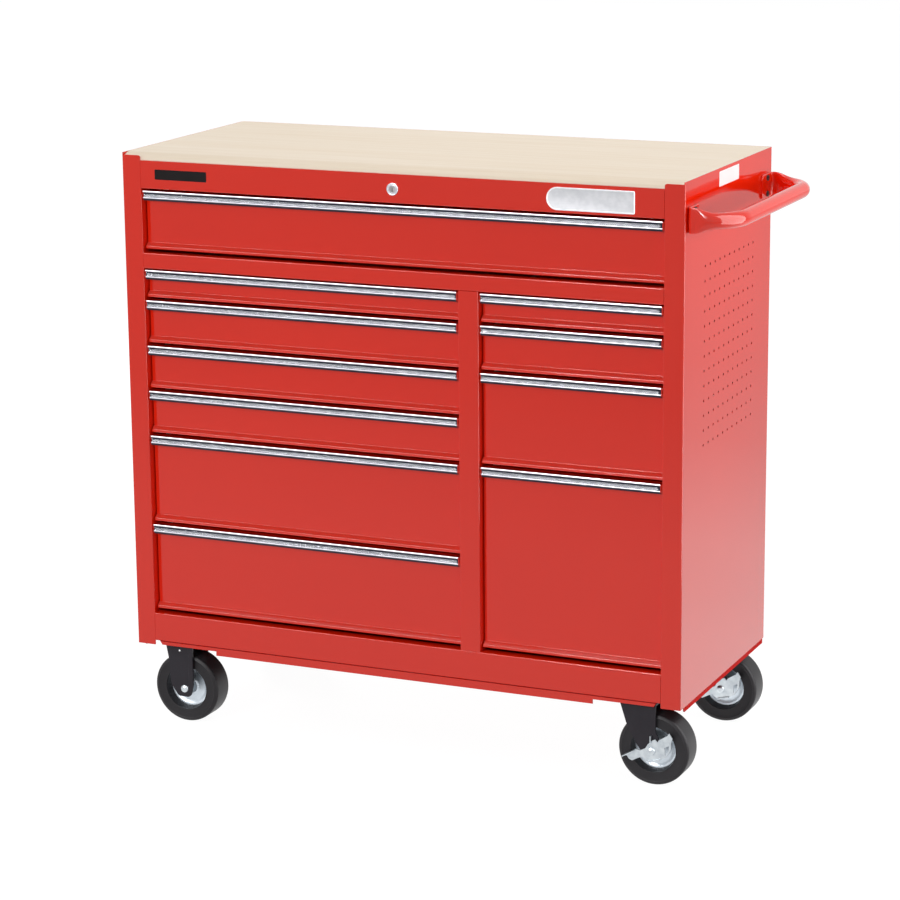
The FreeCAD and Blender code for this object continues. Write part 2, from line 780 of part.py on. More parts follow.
lock_parts()


def lock_bar():
    """A flat bar behind the drawers with two prongs round the crank's pin and a tab for each tooth."""
    spine = divider_left + divider_width / 2
    half = bar_width / 2
    reach = crank_radius * math.sqrt(0.5)
    pin_level = lock_level + reach
    gap = crank_pin + bar_slack
    behind = bar_front + bar_plate
    low_prong, high_prong = pin_level - gap, pin_level + gap
    start, end = reach - 12, spine + half - 1
    plates = [("spine", bar_front, spine - half, spine + half, base_rail_top + 40, high_prong + prong_height),
              ("prong_low", behind, start, end, low_prong - prong_height, low_prong),
              ("prong_high", behind, start, end, high_prong, high_prong + prong_height)]
    for name, left, right, pull_top, modules, catch in drawer_plan():
        tab_low = pull_top - tray_below_pull - catch_drop + catch_height + tab_lift
        ends = sorted([catch - catch_width / 2 + 2, catch + catch_width / 2 - 2, spine + half - 1,
                       spine - half + 1], key=number_of)
        plates.append((f"tab_{name}", behind, ends[0], ends[-1], tab_low, tab_low + tab_height))
    pieces = []
    for name, start, left, right, low, high in plates:
        piece = new_body(f"lock_bar_{name}")
        strip = draw(piece, "front", start)
        rectangle(strip, left, right, low, high)
        pad(piece, strip, bar_plate)
        pieces.append(piece)
    group("lock_bar", pieces)


lock_bar()


def bar_guide(name, level):
    """A clip on the back panel that the bar slides through."""
    body = new_body(name)
    spine = divider_left + divider_width / 2
    inner = bar_width / 2 + guide_gap
    outer = inner + 2 * sheet
    front = bar_front - guide_gap - sheet
    section = draw(body, "top", level)
    outline(section, [(spine - outer, front), (spine + outer, front), (spine + outer, back_front),
                      (spine + inner, back_front), (spine + inner, front + sheet),
                      (spine - inner, front + sheet), (spine - inner, back_front),
                      (spine - outer, back_front)])
    pad(body, section, guide_height)
    return body


group("lock_guides", [bar_guide("guide_low", base_rail_top + 60),
                      bar_guide("guide_high", cross_rail_bottom - 108)])


# Badge

badge = new_body("name_plate")
badge_drawing = draw(badge, "front", rail_inset - plate_thickness)
badge_low, badge_high = lock_level - plate_height / 2, lock_level + plate_height / 2
plate_right = plate_left + plate_length
rectangle(badge_drawing, plate_left, plate_right, badge_low, badge_high)
pad(badge, badge_drawing, plate_thickness)
soften(badge, "Y", [(plate_left, badge_low), (plate_left, badge_high)], plate_height / 2 - 0.05)
soften(badge, "Y", [(plate_right, badge_low), (plate_right, badge_high)], plate_round)
keep(badge, "name_plate")


# Side handle

def handle():
    """One bent tube whose flattened ends are folded against the side wall as feet."""
    wall = half_width.number
    tube = tube_diameter.number / 2
    reach = wall + handle_reach.number - tube
    level = handle_level.number
    leg = handle_leg.number
    turn = handle_bend.number
    thick, tall = foot_thickness.number, foot_height.number
    middle = cabinet_depth.number / 2
    centre = FreeCAD.Vector(reach - turn, leg + turn, level)
    up = FreeCAD.Vector(0, 0, 1)

    def along(angle):
        outward = FreeCAD.Vector(math.sin(angle), -math.cos(angle), 0)
        return centre + outward * turn, outward

    def section(spot, outward, half_thick, half_tall, power):
        points = []
        for step in range(24):
            angle = 2 * math.pi * step / 24
            c, s = math.cos(angle), math.sin(angle)
            across = half_thick * math.copysign(abs(c) ** (2 / power), c)
            rise = half_tall * math.copysign(abs(s) ** (2 / power), s)
            points.append(spot + outward * across + up * rise)
        curve = Part.BSplineCurve()
        curve.interpolate(points, PeriodicFlag=True)
        return Part.Wire([curve.toShape()])

    flat_end = FreeCAD.Vector(centre.x - 5, leg, level)
    buried = FreeCAD.Vector(3, 0, 0)
    front_side = FreeCAD.Vector(0, -1, 0)
    stages = [(math.radians(8), 0.36, 0.92, 2.6), (math.radians(20), 0.68, 0.72, 2.2)]
    wires = [section(flat_end - buried, front_side, thick / 2 - 0.05, tall / 2 - 0.05, 5)]
    for angle, narrow, part_way, power in stages:
        spot, outward = along(angle)
        half_thick = thick / 2 + (tube - thick / 2) * narrow
        half_tall = tube + (tall / 2 - tube) * part_way * 0.9
        wires.append(section(spot, outward, half_thick, half_tall, power))
    round_from = math.radians(34)
    spot, outward = along(round_from + math.radians(2))
    wires.append(section(spot, outward, tube - 0.05, tube - 0.05, 2))
    neck = Part.makeLoft(wires, True, False)
    spot, outward = along(round_from)

    tangent = FreeCAD.Vector(math.cos(round_from), math.sin(round_from), 0)
    disc = Part.Face(Part.Wire([Part.Circle(spot, tangent, tube).toShape()]))
    elbow = disc.revolve(centre, up, 90 - math.degrees(round_from))
    run_start = FreeCAD.Vector(reach, centre.y, level)
    run = Part.makeCylinder(tube, middle - centre.y, run_start, FreeCAD.Vector(0, 1, 0))

    near, far, tip = leg - thick / 2, leg + thick / 2, leg + foot_length.number
    foot_plan = [FreeCAD.Vector(x, y, level - tall / 2) for x, y in (
        (flat_end.x, near), (wall, near), (wall, tip), (wall + thick, tip), (wall + thick, far),
        (flat_end.x, far))]
    plan_face = Part.Face(Part.makePolygon(foot_plan + foot_plan[:1]))
    foot = plan_face.extrude(up * tall)

    def edges_near(shape, along_axis, x, y, z=None):
        found = []
        for edge in shape.Edges:
            if abs(edge.tangentAt(edge.FirstParameter).dot(along_axis)) < 0.999:
                continue
            middle_at = edge.CenterOfMass
            offsets = [middle_at.x - x, middle_at.y - y, 0 if z is None else middle_at.z - z]
            if max(abs(offset) for offset in offsets) < 0.1:
                found.append(edge)
        return found

    foot = foot.makeFillet(thick + 1.5, edges_near(foot, up, wall, leg - thick / 2))
    foot = foot.makeFillet(1.5, edges_near(foot, up, wall + thick, leg + thick / 2))
    x_axis = FreeCAD.Vector(1, 0, 0)
    tips = []
    for z in (level - tall / 2, level + tall / 2):
        tips += edges_near(foot, x_axis, wall + thick / 2, leg + foot_length.number, z)
    foot = foot.makeFillet(foot_round.number, tips)
    for z in (level - screw_spread.number / 2, level + screw_spread.number / 2):
        start = FreeCAD.Vector(wall - 1, screw_inset.number, z)
        foot = foot.cut(Part.makeCylinder(screw_radius.number, thick + 2, start, x_axis))

    half = foot.fuse([neck, elbow, run])
    other = half.mirror(FreeCAD.Vector(0, middle, 0), FreeCAD.Vector(0, 1, 0))
    whole = half.fuse(other).removeSplitter()
    feature = document.addObject("Part::Feature", "side_handle")
    feature.Shape = whole
    feature.Placement = FreeCAD.Placement(FreeCAD.Vector(shift_x.number, shift_y.number, 0), FreeCAD.Rotation())
    return keep(feature, "side_handle")


handle()


def handle_screw(name, across, up):
    """A pan-headed screw that goes in from the foot of the handle."""
    body = new_body(name)
    shank = draw(body, "side", half_width - 6)
    circle(shank, across, up, screw_radius)
    pad(body, shank, foot_thickness + 6)
    head = draw(body, "side", half_width + foot_thickness)
    circle(head, across, up, screw_head)
    pad(body, head, screw_head_height)
    for wide, tall in ((0.5, 2.75), (2.75, 0.5)):
        recess = draw(body, "side", half_width + foot_thickness + screw_head_height / 2)
        rectangle(recess, across - wide, across + wide, up - tall, up + tall)
        pocket(body, recess, screw_head_height)
    return body


screws = []
for end, across in (("front", screw_inset), ("rear", cabinet_depth - screw_inset)):
    for place, up in (("low", handle_level - screw_spread / 2), ("high", handle_level + screw_spread / 2)):
        screws.append(handle_screw(f"handle_screw_{end}_{place}", across, up))
group("handle_screws", screws)


# Casters

rear_plane = cabinet_depth - caster_inset
swivel_wheel_x = swivel_x + swivel_trail
CASTERS = (("front_left", rigid_x, caster_inset), ("rear_left", rigid_x, rear_plane),
           ("front_right", swivel_wheel_x, caster_inset), ("rear_right", swivel_wheel_x, rear_plane))


def tyre(name, x, y):
    """A solid tyre with a rounded tread and a coned mouth round the wheel disc."""
    body = new_body(f"tyre_{name}", x, y, wheel_radius)
    half = wheel_width / 2
    shoulder = wheel_radius - tread_round
    nip = tread_round * 0.35
    section = draw(body, "side")
    outline(section, [(-disc_half, disc_radius), (-half, tyre_mouth), (-half, shoulder - 1),
                      (-half + 0.6, shoulder), (-half + nip, wheel_radius - nip),
                      (-half + tread_round, wheel_radius), (half - tread_round, wheel_radius),
                      (half - nip, wheel_radius - nip), (half - 0.6, shoulder), (half, shoulder - 1),
                      (half, tyre_mouth), (disc_half, disc_radius)])
    revolve(body, section, "H_Axis")
    return keep(body, f"tyre_{name}")


def hub(name, x, y):
    """The wheel disc and its nave, bored to run on the axle bolt."""
    body = new_body(f"hub_{name}", x, y, wheel_radius)
    bore = axle_radius + wheel_bore_clearance
    nave = fork_gap - 0.5
    dish = disc_half - 3
    section = draw(body, "side")
    outline(section, [(-nave, bore), (nave, bore), (nave, nave_radius - 3), (disc_half + 3, nave_radius),
                      (dish, nave_radius + 4), (dish, disc_radius - 8), (disc_half, disc_radius - 4),
                      (disc_half, disc_radius), (-disc_half, disc_radius), (-disc_half, disc_radius - 4),
                      (-dish, disc_radius - 8), (-dish, nave_radius + 4), (-disc_half - 3, nave_radius),
                      (-nave, nave_radius - 3)])
    revolve(body, section, "H_Axis")
    return keep(body, f"hub_{name}")


for name, x, y in CASTERS:
    tyre(name, x, y)
    hub(name, x, y)


def rigid_fork(name, y):
    """A fixed fork: a bolted plate with two legs, drawn round its axle."""
    body = new_body(name, rigid_x, y, wheel_radius)
    top = base_rail_bottom - wheel_radius
    seat = draw(body, "top", top - fork_plate)
    rectangle(seat, -mount_length / 2, mount_length / 2, -mount_width / 2, mount_width / 2)
    for bolt_x in (-mount_bolt_x / 2, mount_bolt_x / 2):
        for bolt_y in (-mount_bolt_y / 2, mount_bolt_y / 2):
            circle(seat, bolt_x, bolt_y, bolt_radius)
    pad(body, seat, fork_plate)
    leg_top = top - fork_plate
    legs = [(-37.5, leg_top), (-30, 50), (-28, 8), (-13, -15), (12, -15), (18, 8), (18, leg_top)]
    for start in (-fork_gap - fork_plate, fork_gap):
        leg = draw(body, "front", start)
        outline(leg, legs)
        circle(leg, front_y, front_y, axle_radius)
        circle(leg, front_y - 9, leg_top - 18, 2.6)
        pad(body, leg, fork_plate)
    soften(body, "Y", [(-13, -15), (12, -15)], 9)
    soften(body, "Y", [(-28, 8), (18, 8)], 12)
    for start in (-fork_gap - fork_plate - rib_proud, fork_gap + fork_plate):
        rib = draw(body, "front", start)
        rectangle(rib, 18 - rib_width, 18 * sheet, 10 * sheet, leg_top)
        pad(body, rib, rib_proud)
        edge = start if number_of(start) < 0 else start + rib_proud
        soften(body, "Z", [(18 - rib_width, edge), (18, edge)], rib_proud * 0.8)
    return body


group("rigid_forks", [rigid_fork("rigid_fork_front", caster_inset),
                      rigid_fork("rigid_fork_rear", rear_plane)])


def swivel_seat(name, y):
    """The bolted plate of a swivel caster with its raceway and the bore for the king pin."""
    body = new_body(name, swivel_x, y, front_y)
    seat = draw(body, "top", base_rail_bottom - fork_plate)
    rectangle(seat, -mount_length / 2, mount_length / 2, -mount_width / 2, mount_width / 2)
    for bolt_x in (-mount_bolt_x / 2, mount_bolt_x / 2):
        for bolt_y in (-mount_bolt_y / 2, mount_bolt_y / 2):
            circle(seat, bolt_x, bolt_y, bolt_radius)
    circle(seat, front_y, front_y, king_radius)
    pad(body, seat, fork_plate)
    race = draw(body, "top", base_rail_bottom - fork_plate - raceway_drop)
    circle(race, front_y, front_y, raceway_radius)
    circle(race, front_y, front_y, king_radius)
    pad(body, race, raceway_drop)
    return body


group("swivel_plates", [swivel_seat("swivel_seat_front", caster_inset),
                        swivel_seat("swivel_seat_rear", rear_plane)])


def swivel_fork(name, y):
    """A swivelling fork with its crown and king pin, drawn round its axle."""
    body = new_body(name, swivel_wheel_x, y, wheel_radius)
    crown_top = base_rail_bottom - fork_plate - raceway_drop - race_gap - wheel_radius
    crown = draw(body, "top", crown_top - fork_plate)
    rectangle(crown, front_y - 58, front_y + 6, -fork_gap - fork_plate, fork_gap + fork_plate)
    pad(body, crown, fork_plate)
    legs = [(-58, crown_top - fork_plate), (-46, 42), (-30, 12), (-11, -15), (11, -15), (18, 6), (6, 34),
            (6, crown_top - fork_plate)]
    for start in (-fork_gap - fork_plate, fork_gap):
        leg = draw(body, "front", start)
        outline(leg, legs)
        circle(leg, front_y, front_y, axle_radius)
        pad(body, leg, fork_plate)
    soften(body, "Y", [(-11, -15), (11, -15)], 9)
    soften(body, "Y", [(-30, 12), (18, 6)], 8)
    soften(body, "Y", [(-46, 42)], 40)
    crown_half = fork_gap + fork_plate
    soften(body, "X", [(-crown_half, crown_top), (crown_half, crown_top)], fork_plate + 1)
    king = draw(body, "top", crown_top)
    circle(king, -swivel_trail, front_y, king_radius - lock_clearance)
    pad(body, king, base_rail_bottom - wheel_radius - crown_top - 0.5)
    return keep(body, name)


def axle(name, x, y, head_start, tail):
    """A bolt through fork and wheel: domed head in front, nut behind."""
    body = new_body(name, x, y, wheel_radius)
    section = draw(body, "side")
    head = head_start - axle_head_height
    shoulder = head + axle_head_height * 0.45
    outline(section, [(head, front_y), (head, axle_head * 0.45), (shoulder, axle_head * 0.9),
                      (head_start - 0.6, axle_head), (head_start, axle_head), (head_start, axle_radius),
                      (tail, axle_radius), (tail, axle_radius + 3), (tail + 5, axle_radius + 3),
                      (tail + 5, axle_radius - 1), (tail + 7, axle_radius - 1), (tail + 7, front_y)])
    revolve(body, section, "H_Axis")
    return body


leg_face = fork_gap + fork_plate
group("rigid_axles", [axle("rigid_axle_front", rigid_x, caster_inset, -leg_face, leg_face),
                      axle("rigid_axle_rear", rigid_x, rear_plane, -leg_face, leg_face)])


def brake_lever(name, y):
    """The stamped pedal outside the fork's front leg, which turns on the axle bolt."""
    body = new_body(name, swivel_wheel_x, y, wheel_radius)
    start = -leg_face - brake_gap - brake_plate
    plate = draw(body, "front", start)
    outline(plate, [(-50.5, -11.8), (-43.8, -13.1), (-40.4, -18.1), (-34.7, -20.6), (-24.4, -15),
                    (-16, -11), (-11, -15), (-5, -19.5), (16.4, -14), (21, -10.5), (27.5, -7.5),
                    (35.5, 8), (35.6, 19), (38, 27), (31.8, 36), (29, 31.3), (13.5, 21.6),
                    (11.4, 17.6), (6.8, 22), (1.8, 19.6), (-6.2, 12.1), (-10.7, 4.4), (-19.8, -0.6),
                    (-28.9, 0.9)])
    circle(plate, front_y, front_y, axle_radius + wheel_bore_clearance)
    outline(plate, [(23.9, 9.5), (25, -4.6), (31, 3), (32, 13.5)])
    pad(body, plate, brake_plate)
    soften(body, "Y", [(-34.7, -20.6), (-40.4, -18.1)], 3)
    shelf = draw(body, "front", start - brake_shelf)
    outline(shelf, [(-50.5, -11.8), (-28.9, 0.9), (-28.9, -1.1), (-49.4, -13.2)])
    pad(body, shelf, brake_shelf)
    lip = draw(body, "front", start - brake_lip)
    outline(lip, [(-5, -19.5), (16.4, -14), (15.9, -12.1), (-5.5, -17.6)])
    pad(body, lip, brake_lip)
    tab = draw(body, "front", start - 4)
    rectangle(tab, front_y - 1.6, front_y, front_y + 15, front_y + 28)
    pad(body, tab, brake_plate + 4)
    return keep(body, name)


for end, y in (("front", caster_inset), ("rear", rear_plane)):
    swivel_fork(f"swivel_fork_{end}", y)
    outer_face = -leg_face - brake_gap - brake_plate - 0.4
    keep(axle(f"swivel_axle_{end}", swivel_wheel_x, y, outer_face, leg_face), f"swivel_axle_{end}")
    brake_lever(f"brake_lever_{end}", y)


def caster_bolt(name, x, y):
    """A bolt down through the pan, with its nut below the caster's plate."""
    plate_bottom = base_rail_bottom - fork_plate
    shank = document.addObject("Part::Cylinder", f"{name}_shank")
    hold(shank, "Radius", bolt_radius)
    hold(shank, "Height", fork_plate + 5)
    nut = document.addObject("Part::Prism", f"{name}_nut")
    nut.Polygon = 6
    hold(nut, "Circumradius", bolt_radius * 1.85)
    hold(nut, "Height", 4.5)
    for item, level in ((shank, plate_bottom - 5), (nut, plate_bottom - 4.5)):
        hold(item, "Placement.Base.x", shift_x + x)
        hold(item, "Placement.Base.y", shift_y + y)
        hold(item, "Placement.Base.z", level)
    whole = document.addObject("Part::Fuse", name)
    whole.Base = shank
    whole.Tool = nut
    return whole


bolts = []
for place, x, y in (("fl", rigid_x, caster_inset), ("rl", rigid_x, rear_plane),
                    ("fr", swivel_x, caster_inset), ("rr", swivel_x, rear_plane)):
    for index, (side_x, side_y) in enumerate(((-1, -1), (1, -1), (-1, 1), (1, 1))):
        bolts.append(caster_bolt(f"caster_bolt_{place}{index}", x + side_x * mount_bolt_x / 2,
                                 y + side_y * mount_bolt_y / 2))
group("caster_bolts", bolts)


# Check every piece and write it

document.recompute()
for item in document.Objects:
    if "Invalid" in item.State or "Error" in item.State:
        raise ValueError(f"{item.Name} did not build: {item.State}")
os.makedirs("parts", exist_ok=True)
whole_box = FreeCAD.BoundBox()
for node in nodes:
    if node.Shape.isNull() or not node.Shape.isValid() or not node.Shape.Solids:
        raise ValueError(f"{node.Label} is not a valid solid")
    node.Shape.exportStep(f"parts/{node.Label}.step")
    whole_box.add(node.Shape.BoundBox)
print(f"{len(nodes)} pieces written, box {whole_box}")
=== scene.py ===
# %% [markdown]
# A rolling steel tool chest, dressed for its studio picture.
# The cabinet, drawers, rails, casters and lock come as finished solids in metres, standing on the
# floor at height zero with the drawer fronts towards -Y. This lesson gives each of them the finish
# of the real thing, and builds the pieces whose surface a solid draws too plainly: the knurled
# pulls, tyres, wheel discs, bent handle, work top, name plate, lock bezel and two film labels.

import json
import math

import bmesh
import bpy
from mathutils import Euler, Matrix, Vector


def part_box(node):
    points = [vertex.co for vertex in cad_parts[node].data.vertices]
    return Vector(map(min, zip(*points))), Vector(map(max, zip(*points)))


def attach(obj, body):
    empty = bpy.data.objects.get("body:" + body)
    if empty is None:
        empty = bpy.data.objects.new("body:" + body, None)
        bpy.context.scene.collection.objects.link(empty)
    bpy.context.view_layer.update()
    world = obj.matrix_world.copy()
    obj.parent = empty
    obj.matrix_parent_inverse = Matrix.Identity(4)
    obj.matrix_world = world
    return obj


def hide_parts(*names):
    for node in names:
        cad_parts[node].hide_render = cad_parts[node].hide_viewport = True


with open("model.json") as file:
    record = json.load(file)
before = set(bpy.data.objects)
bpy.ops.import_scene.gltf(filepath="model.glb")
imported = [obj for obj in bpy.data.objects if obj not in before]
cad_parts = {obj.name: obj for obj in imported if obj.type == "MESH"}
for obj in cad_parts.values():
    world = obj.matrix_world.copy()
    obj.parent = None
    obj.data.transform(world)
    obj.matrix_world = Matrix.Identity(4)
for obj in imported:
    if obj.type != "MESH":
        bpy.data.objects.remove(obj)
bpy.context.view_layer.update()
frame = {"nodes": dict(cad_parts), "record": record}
nodes = frame["nodes"]

# %% [markdown]
# Sizes that several pieces share are kept here, in millimetres, measured as a maker would: from
# the middle of the cabinet, the front plane of its corner posts and the floor. The solids have
# their origin on the floor too, but under the middle of the whole chest, handle and lock bezel
# included. Places could be typed in that frame, but nobody could check them with a ruler, so one
# function turns a place on the cabinet into metres there.

# %% Sizes
MM = 0.001
CABINET_WIDTH = 1041.0
CABINET_DEPTH = 457.2
HANDLE_REACH = 89.0   # how far the handle stands out from the right wall
BEZEL_PROUD = 2.2     # how far the lock stands in front of the posts
RAIL_FACE = 0.3       # the lock rail lies this far behind them
LOCK_Z = 1003.0
WALL = CABINET_WIDTH / 2
DATUM = Vector((-HANDLE_REACH / 2, -(CABINET_DEPTH - BEZEL_PROUD) / 2, 0.0))


def place(x, y, z):
    """A place on the cabinet, in millimetres, as a vector in metres."""
    return (Vector((x, y, z)) + DATUM) * MM


print("right wall stands at x =", round(place(WALL, 0, 0).x, 4), "m")

# %% [markdown]
# Materials and Geometry Nodes are networks of small nodes. Each node could be added, set and linked
# on lines of its own, but then a network of ten nodes fills a page. One function does all three, so
# that a whole network reads as a short list. Colours are written as the hex codes that a designer
# would use, which are sRGB, and one function turns them into linear light.


# %% Colours and nodes
def linear(code):
    """An sRGB hex colour as linear RGBA, by the standard curve."""
    channels = [int(code[i:i + 2], 16) / 255 for i in (1, 3, 5)]
    return [c / 12.92 if c <= 0.04045 else ((c + 0.055) / 1.055) ** 2.4 for c in channels] + [1.0]


def fill(tree, node, sockets):
    """Link a node's sockets to outputs, or set them to numbers, vectors or hex colours."""
    for name, value in sockets.items():
        if isinstance(value, bpy.types.NodeSocket):
            tree.links.new(value, node.inputs[name])
        else:
            node.inputs[name].default_value = linear(value) if isinstance(value, str) else value


def add(tree, kind, sockets=None, stops=(), **options):
    """Add one node: options are its settings, sockets its inputs, stops the colours of a ramp."""
    node = tree.nodes.new(kind)
    for name, value in options.items():
        setattr(node, name, value)
    for index, (position, code) in enumerate(stops):
        elements = node.color_ramp.elements
        element = elements[index] if index < len(elements) else elements.new(position)
        element.position = position
        element.color = linear(code) if isinstance(code, str) else (code, code, code, 1.0)
    fill(tree, node, sockets or {})
    return node


print("a middle grey in linear light:", [round(c, 3) for c in linear("#808080")[:3]])

# %% [markdown]
# Every finish here is one surface shader with patterns on its inputs. A picture of the surface
# would be the quick way to a pattern, but it needs a file and blurs close up. Noise on Object
# coordinates needs none, keeps its size in millimetres, and stays on the piece when it moves.


# %% Finishes and patterns
def new_finish(name):
    """An empty material, its node tree and its surface shader."""
    material = bpy.data.materials.new(name)
    material.use_nodes = True
    tree = material.node_tree
    return material, tree, tree.nodes["Principled BSDF"]


def cloudy(tree, period, detail=2.0, roughness=0.5):
    """A soft random pattern from 0 to 1; period is its size in millimetres along x, y and z."""
    spot = add(tree, "ShaderNodeTexCoord").outputs["Object"]
    size = [1 / (length * MM) for length in period]
    stretched = add(tree, "ShaderNodeMapping", {"Vector": spot, "Scale": size}).outputs["Vector"]
    return add(tree, "ShaderNodeTexNoise", {"Vector": stretched, "Scale": 1.0, "Detail": detail,
                                            "Roughness": roughness}).outputs["Fac"]


print("patterns are measured in units of", MM, "m")

# %% [markdown]
# The cabinet is cold-rolled steel sheet with a baked powder coat. Powder melts into a film that is
# glossy but slightly rippled, the so-called orange peel, with a period of a few millimetres. One
# glossy red would look like plastic. So the pigment is a dull, saturated red, and a clear film over
# it adds a white sheen, which is faint where the wall is seen squarely and strong at a low angle,
# so that the side looks paler than the front. The pan's sideways strips get a darker red without
# the clear film, which is painted shade, and just below the pan's top a dark red line without film
# is painted shadow where pan and cabinet meet. The slope of a drawer's lip mirrors only the red
# front above it, so its red is painted paler, a painted sheen.

# %% Powder-coated steel
DRIFT = 400.0         # the pigment's shade drifts over this length
ORANGE_PEEL = 5.0
PEEL_DEPTH = 0.012
PAN_TOP = 155.0
SHADE_LINE_HEIGHT = 2.8            # height of the painted shadow line below the pan's top
SHADE_LINE_CORE = 0.7       # share of it that is fully dark, below which it fades
# the dark red of the painted shadow line where the pan meets the cabinet
SHADE_LINE_RED = "#9C0F09"


def powder_coat(name, light, dark, film, gloss_level, rough=0.42, shade_line_top=None):
    """Red powder coat: film is the clear coat's weight; a joint's height, if given, adds a painted
    shadow line below it.
    """
    material, tree, surface = new_finish(name)
    drift = cloudy(tree, [DRIFT] * 3, detail=3.0)
    tint = add(tree, "ShaderNodeValToRGB", {"Fac": drift}, stops=[(0.3, dark), (0.7, light)])
    colour, film_here = tint.outputs["Color"], film
    if shade_line_top:
        # Below the joint the red turns dark and loses its clear film, a painted shadow line where
        # pan and cabinet meet; bare is its share at each height.
        spot = add(tree, "ShaderNodeTexCoord").outputs["Object"]
        height = add(tree, "ShaderNodeSeparateXYZ", {"Vector": spot}).outputs["Z"]
        bare = add(tree, "ShaderNodeMapRange", {
            "Value": height, "From Min": (shade_line_top - SHADE_LINE_HEIGHT) * MM,
            "From Max": (shade_line_top - SHADE_LINE_CORE * SHADE_LINE_HEIGHT) * MM}).outputs["Result"]
        colour = add(tree, "ShaderNodeMix", {"Factor": bare, "A": colour, "B": SHADE_LINE_RED},
                     data_type="RGBA").outputs["Result"]
        if film:
            film_here = add(tree, "ShaderNodeMapRange", {
                "Value": bare, "To Min": film, "To Max": 0.0}).outputs["Result"]
    peel = cloudy(tree, [ORANGE_PEEL] * 3, detail=1.5, roughness=0.4)
    ripple = add(tree, "ShaderNodeBump", {
        "Height": peel, "Distance": PEEL_DEPTH * MM}).outputs["Normal"]
    fill(tree, surface, {
        "Base Color": colour, "Roughness": rough, "Specular IOR Level": gloss_level,
        "Coat Weight": film_here, "Coat IOR": 1.5, "Coat Roughness": 0.035,
        "Normal": ripple, "Coat Normal": ripple})
    return material


red = powder_coat("gloss_red_powder_coat", "#E92608", "#E62306", 1.0, 0.0)
# The pan's red, with a painted shadow line just below its top.
red_with_shade_line = powder_coat("red_powder_coat_with_painted_shade_line", "#E92608", "#E62306", 1.0, 0.0,
                         shade_line_top=PAN_TOP)
# The pan's sideways strips: a darker red without clear film, painted shade, with the same painted
# shadow line.
red_painted_side_shade = powder_coat("red_powder_coat_painted_side_shade", "#DC150A", "#D81208", 0.0, 0.05, rough=0.6,
                       shade_line_top=PAN_TOP)
# The slope of a lip: a paler red, a painted sheen.
lip_red_painted_sheen = powder_coat("red_powder_coat_painted_sheen_on_lip", "#E94335", "#E54032", 1.0, 0.0)
print(red.name, red_with_shade_line.name, red_painted_side_shade.name, lip_red_painted_sheen.name)

# %% [markdown]
# Zinc plating on hidden steel keeps the rolled sheet's fine streaks and a faint cloudy spangle.
# Chrome over nickel is much smoother, and satin on a pull's lower bead. The sunken channel of a
# pull and the step under it get a dark satin tint, which is a painted dark reflection in the
# channel and painted shade on the step, and the lock's plug is a darker, duller steel. The name
# plate is brushed aluminium round an etched, matt field. One grey with one roughness would do for
# all of them, but it would look cast. A metal's colour is its reflection, so each has a pale or
# tinted base and a roughness that wanders a little along the direction in which the strip was
# rolled.
# Real rolling marks are a tenth of a millimetre wide, and are drawn about ten times as coarse, so
# that they show from where the picture is taken.

# %% Plated metals
SPANGLE = 11.0
ROLLING_MARK = (170.0, 1.1, 1.1)
MARK_DEPTH = 0.01


def plated(name, light, dark, rough, streak):
    """A plated or bright metal; rough is its mean roughness, streak how far that wanders."""
    material, tree, surface = new_finish(name)
    cloud = cloudy(tree, [SPANGLE] * 3, detail=4.0)
    colour = add(tree, "ShaderNodeValToRGB", {"Fac": cloud}, stops=[(0.35, dark), (0.65, light)])
    rolled = cloudy(tree, ROLLING_MARK)
    rough_here = add(tree, "ShaderNodeMapRange", {
        "Value": rolled, "To Min": rough - streak, "To Max": rough + streak})
    ripple = add(tree, "ShaderNodeBump", {"Height": rolled, "Distance": MARK_DEPTH * MM})
    fill(tree, surface, {
        "Base Color": colour.outputs["Color"], "Metallic": 1.0,
        "Roughness": rough_here.outputs["Result"], "Normal": ripple.outputs["Normal"]})
    return material


zinc = plated("bright_zinc_plate", "#CDD3D7", "#B6BDC3", 0.32, 0.08)
disc_zinc = plated("pressed_zinc_disc", "#DAE2EA", "#D0D9E1", 0.42, 0.05)
chrome = plated("polished_chrome_plate", "#DEDAE2", "#D6D2DB", 0.12, 0.03)
knurl_chrome = plated("knurled_chrome", "#DEDEE4", "#D2D3DA", 0.2, 0.03)
# The lock's plug: a darker, duller steel.
dark_plug_steel = plated("dark_dull_steel_plug", "#B3AFB0", "#9B989A", 0.3, 0.05)
bead_chrome = plated("satin_chrome_bead", "#A8A8AF", "#9C9CA4", 0.2, 0.03)
# The dark tint of a pull's channel and step: painted dark reflection and painted shade.
pull_painted_reflection_and_shade = plated("dark_satin_painted_reflection_and_shade", "#363944", "#2B2E37", 0.3, 0.05)
brushed = plated("brushed_aluminium", "#D8D9DB", "#CBCCCF", 0.4, 0.07)
etched = plated("etched_aluminium_field", "#BDBDC0", "#B4B5B8", 0.75, 0.04)
print("nine plated metals, from", zinc.name, "to", etched.name)

# %% [markdown]
# The work top is a pale sealed hardwood board. Its grain runs along the cabinet: broad bands where
# one stave meets the next, long soft streaks a few millimetres wide, and pores inside them. A wave
# pattern is the usual short way to wood, but it draws the rings of a log. The colours of a glued
# board change only slightly, so three noises stretched along X are mixed gently. Real pores are
# finer than half a millimetre and are drawn coarser, so that they show at all. The thin sealer
# leaves a dull sheen.

# %% Sealed hardwood
GRAIN = {"stave": (900.0, 70.0, 70.0), "streak": (330.0, 7.0, 7.0), "pore": (80.0, 1.6, 1.6)}
STREAK_SHARE = 0.45
PORE_SHARE = 0.14
PORE_DEPTH = 0.04


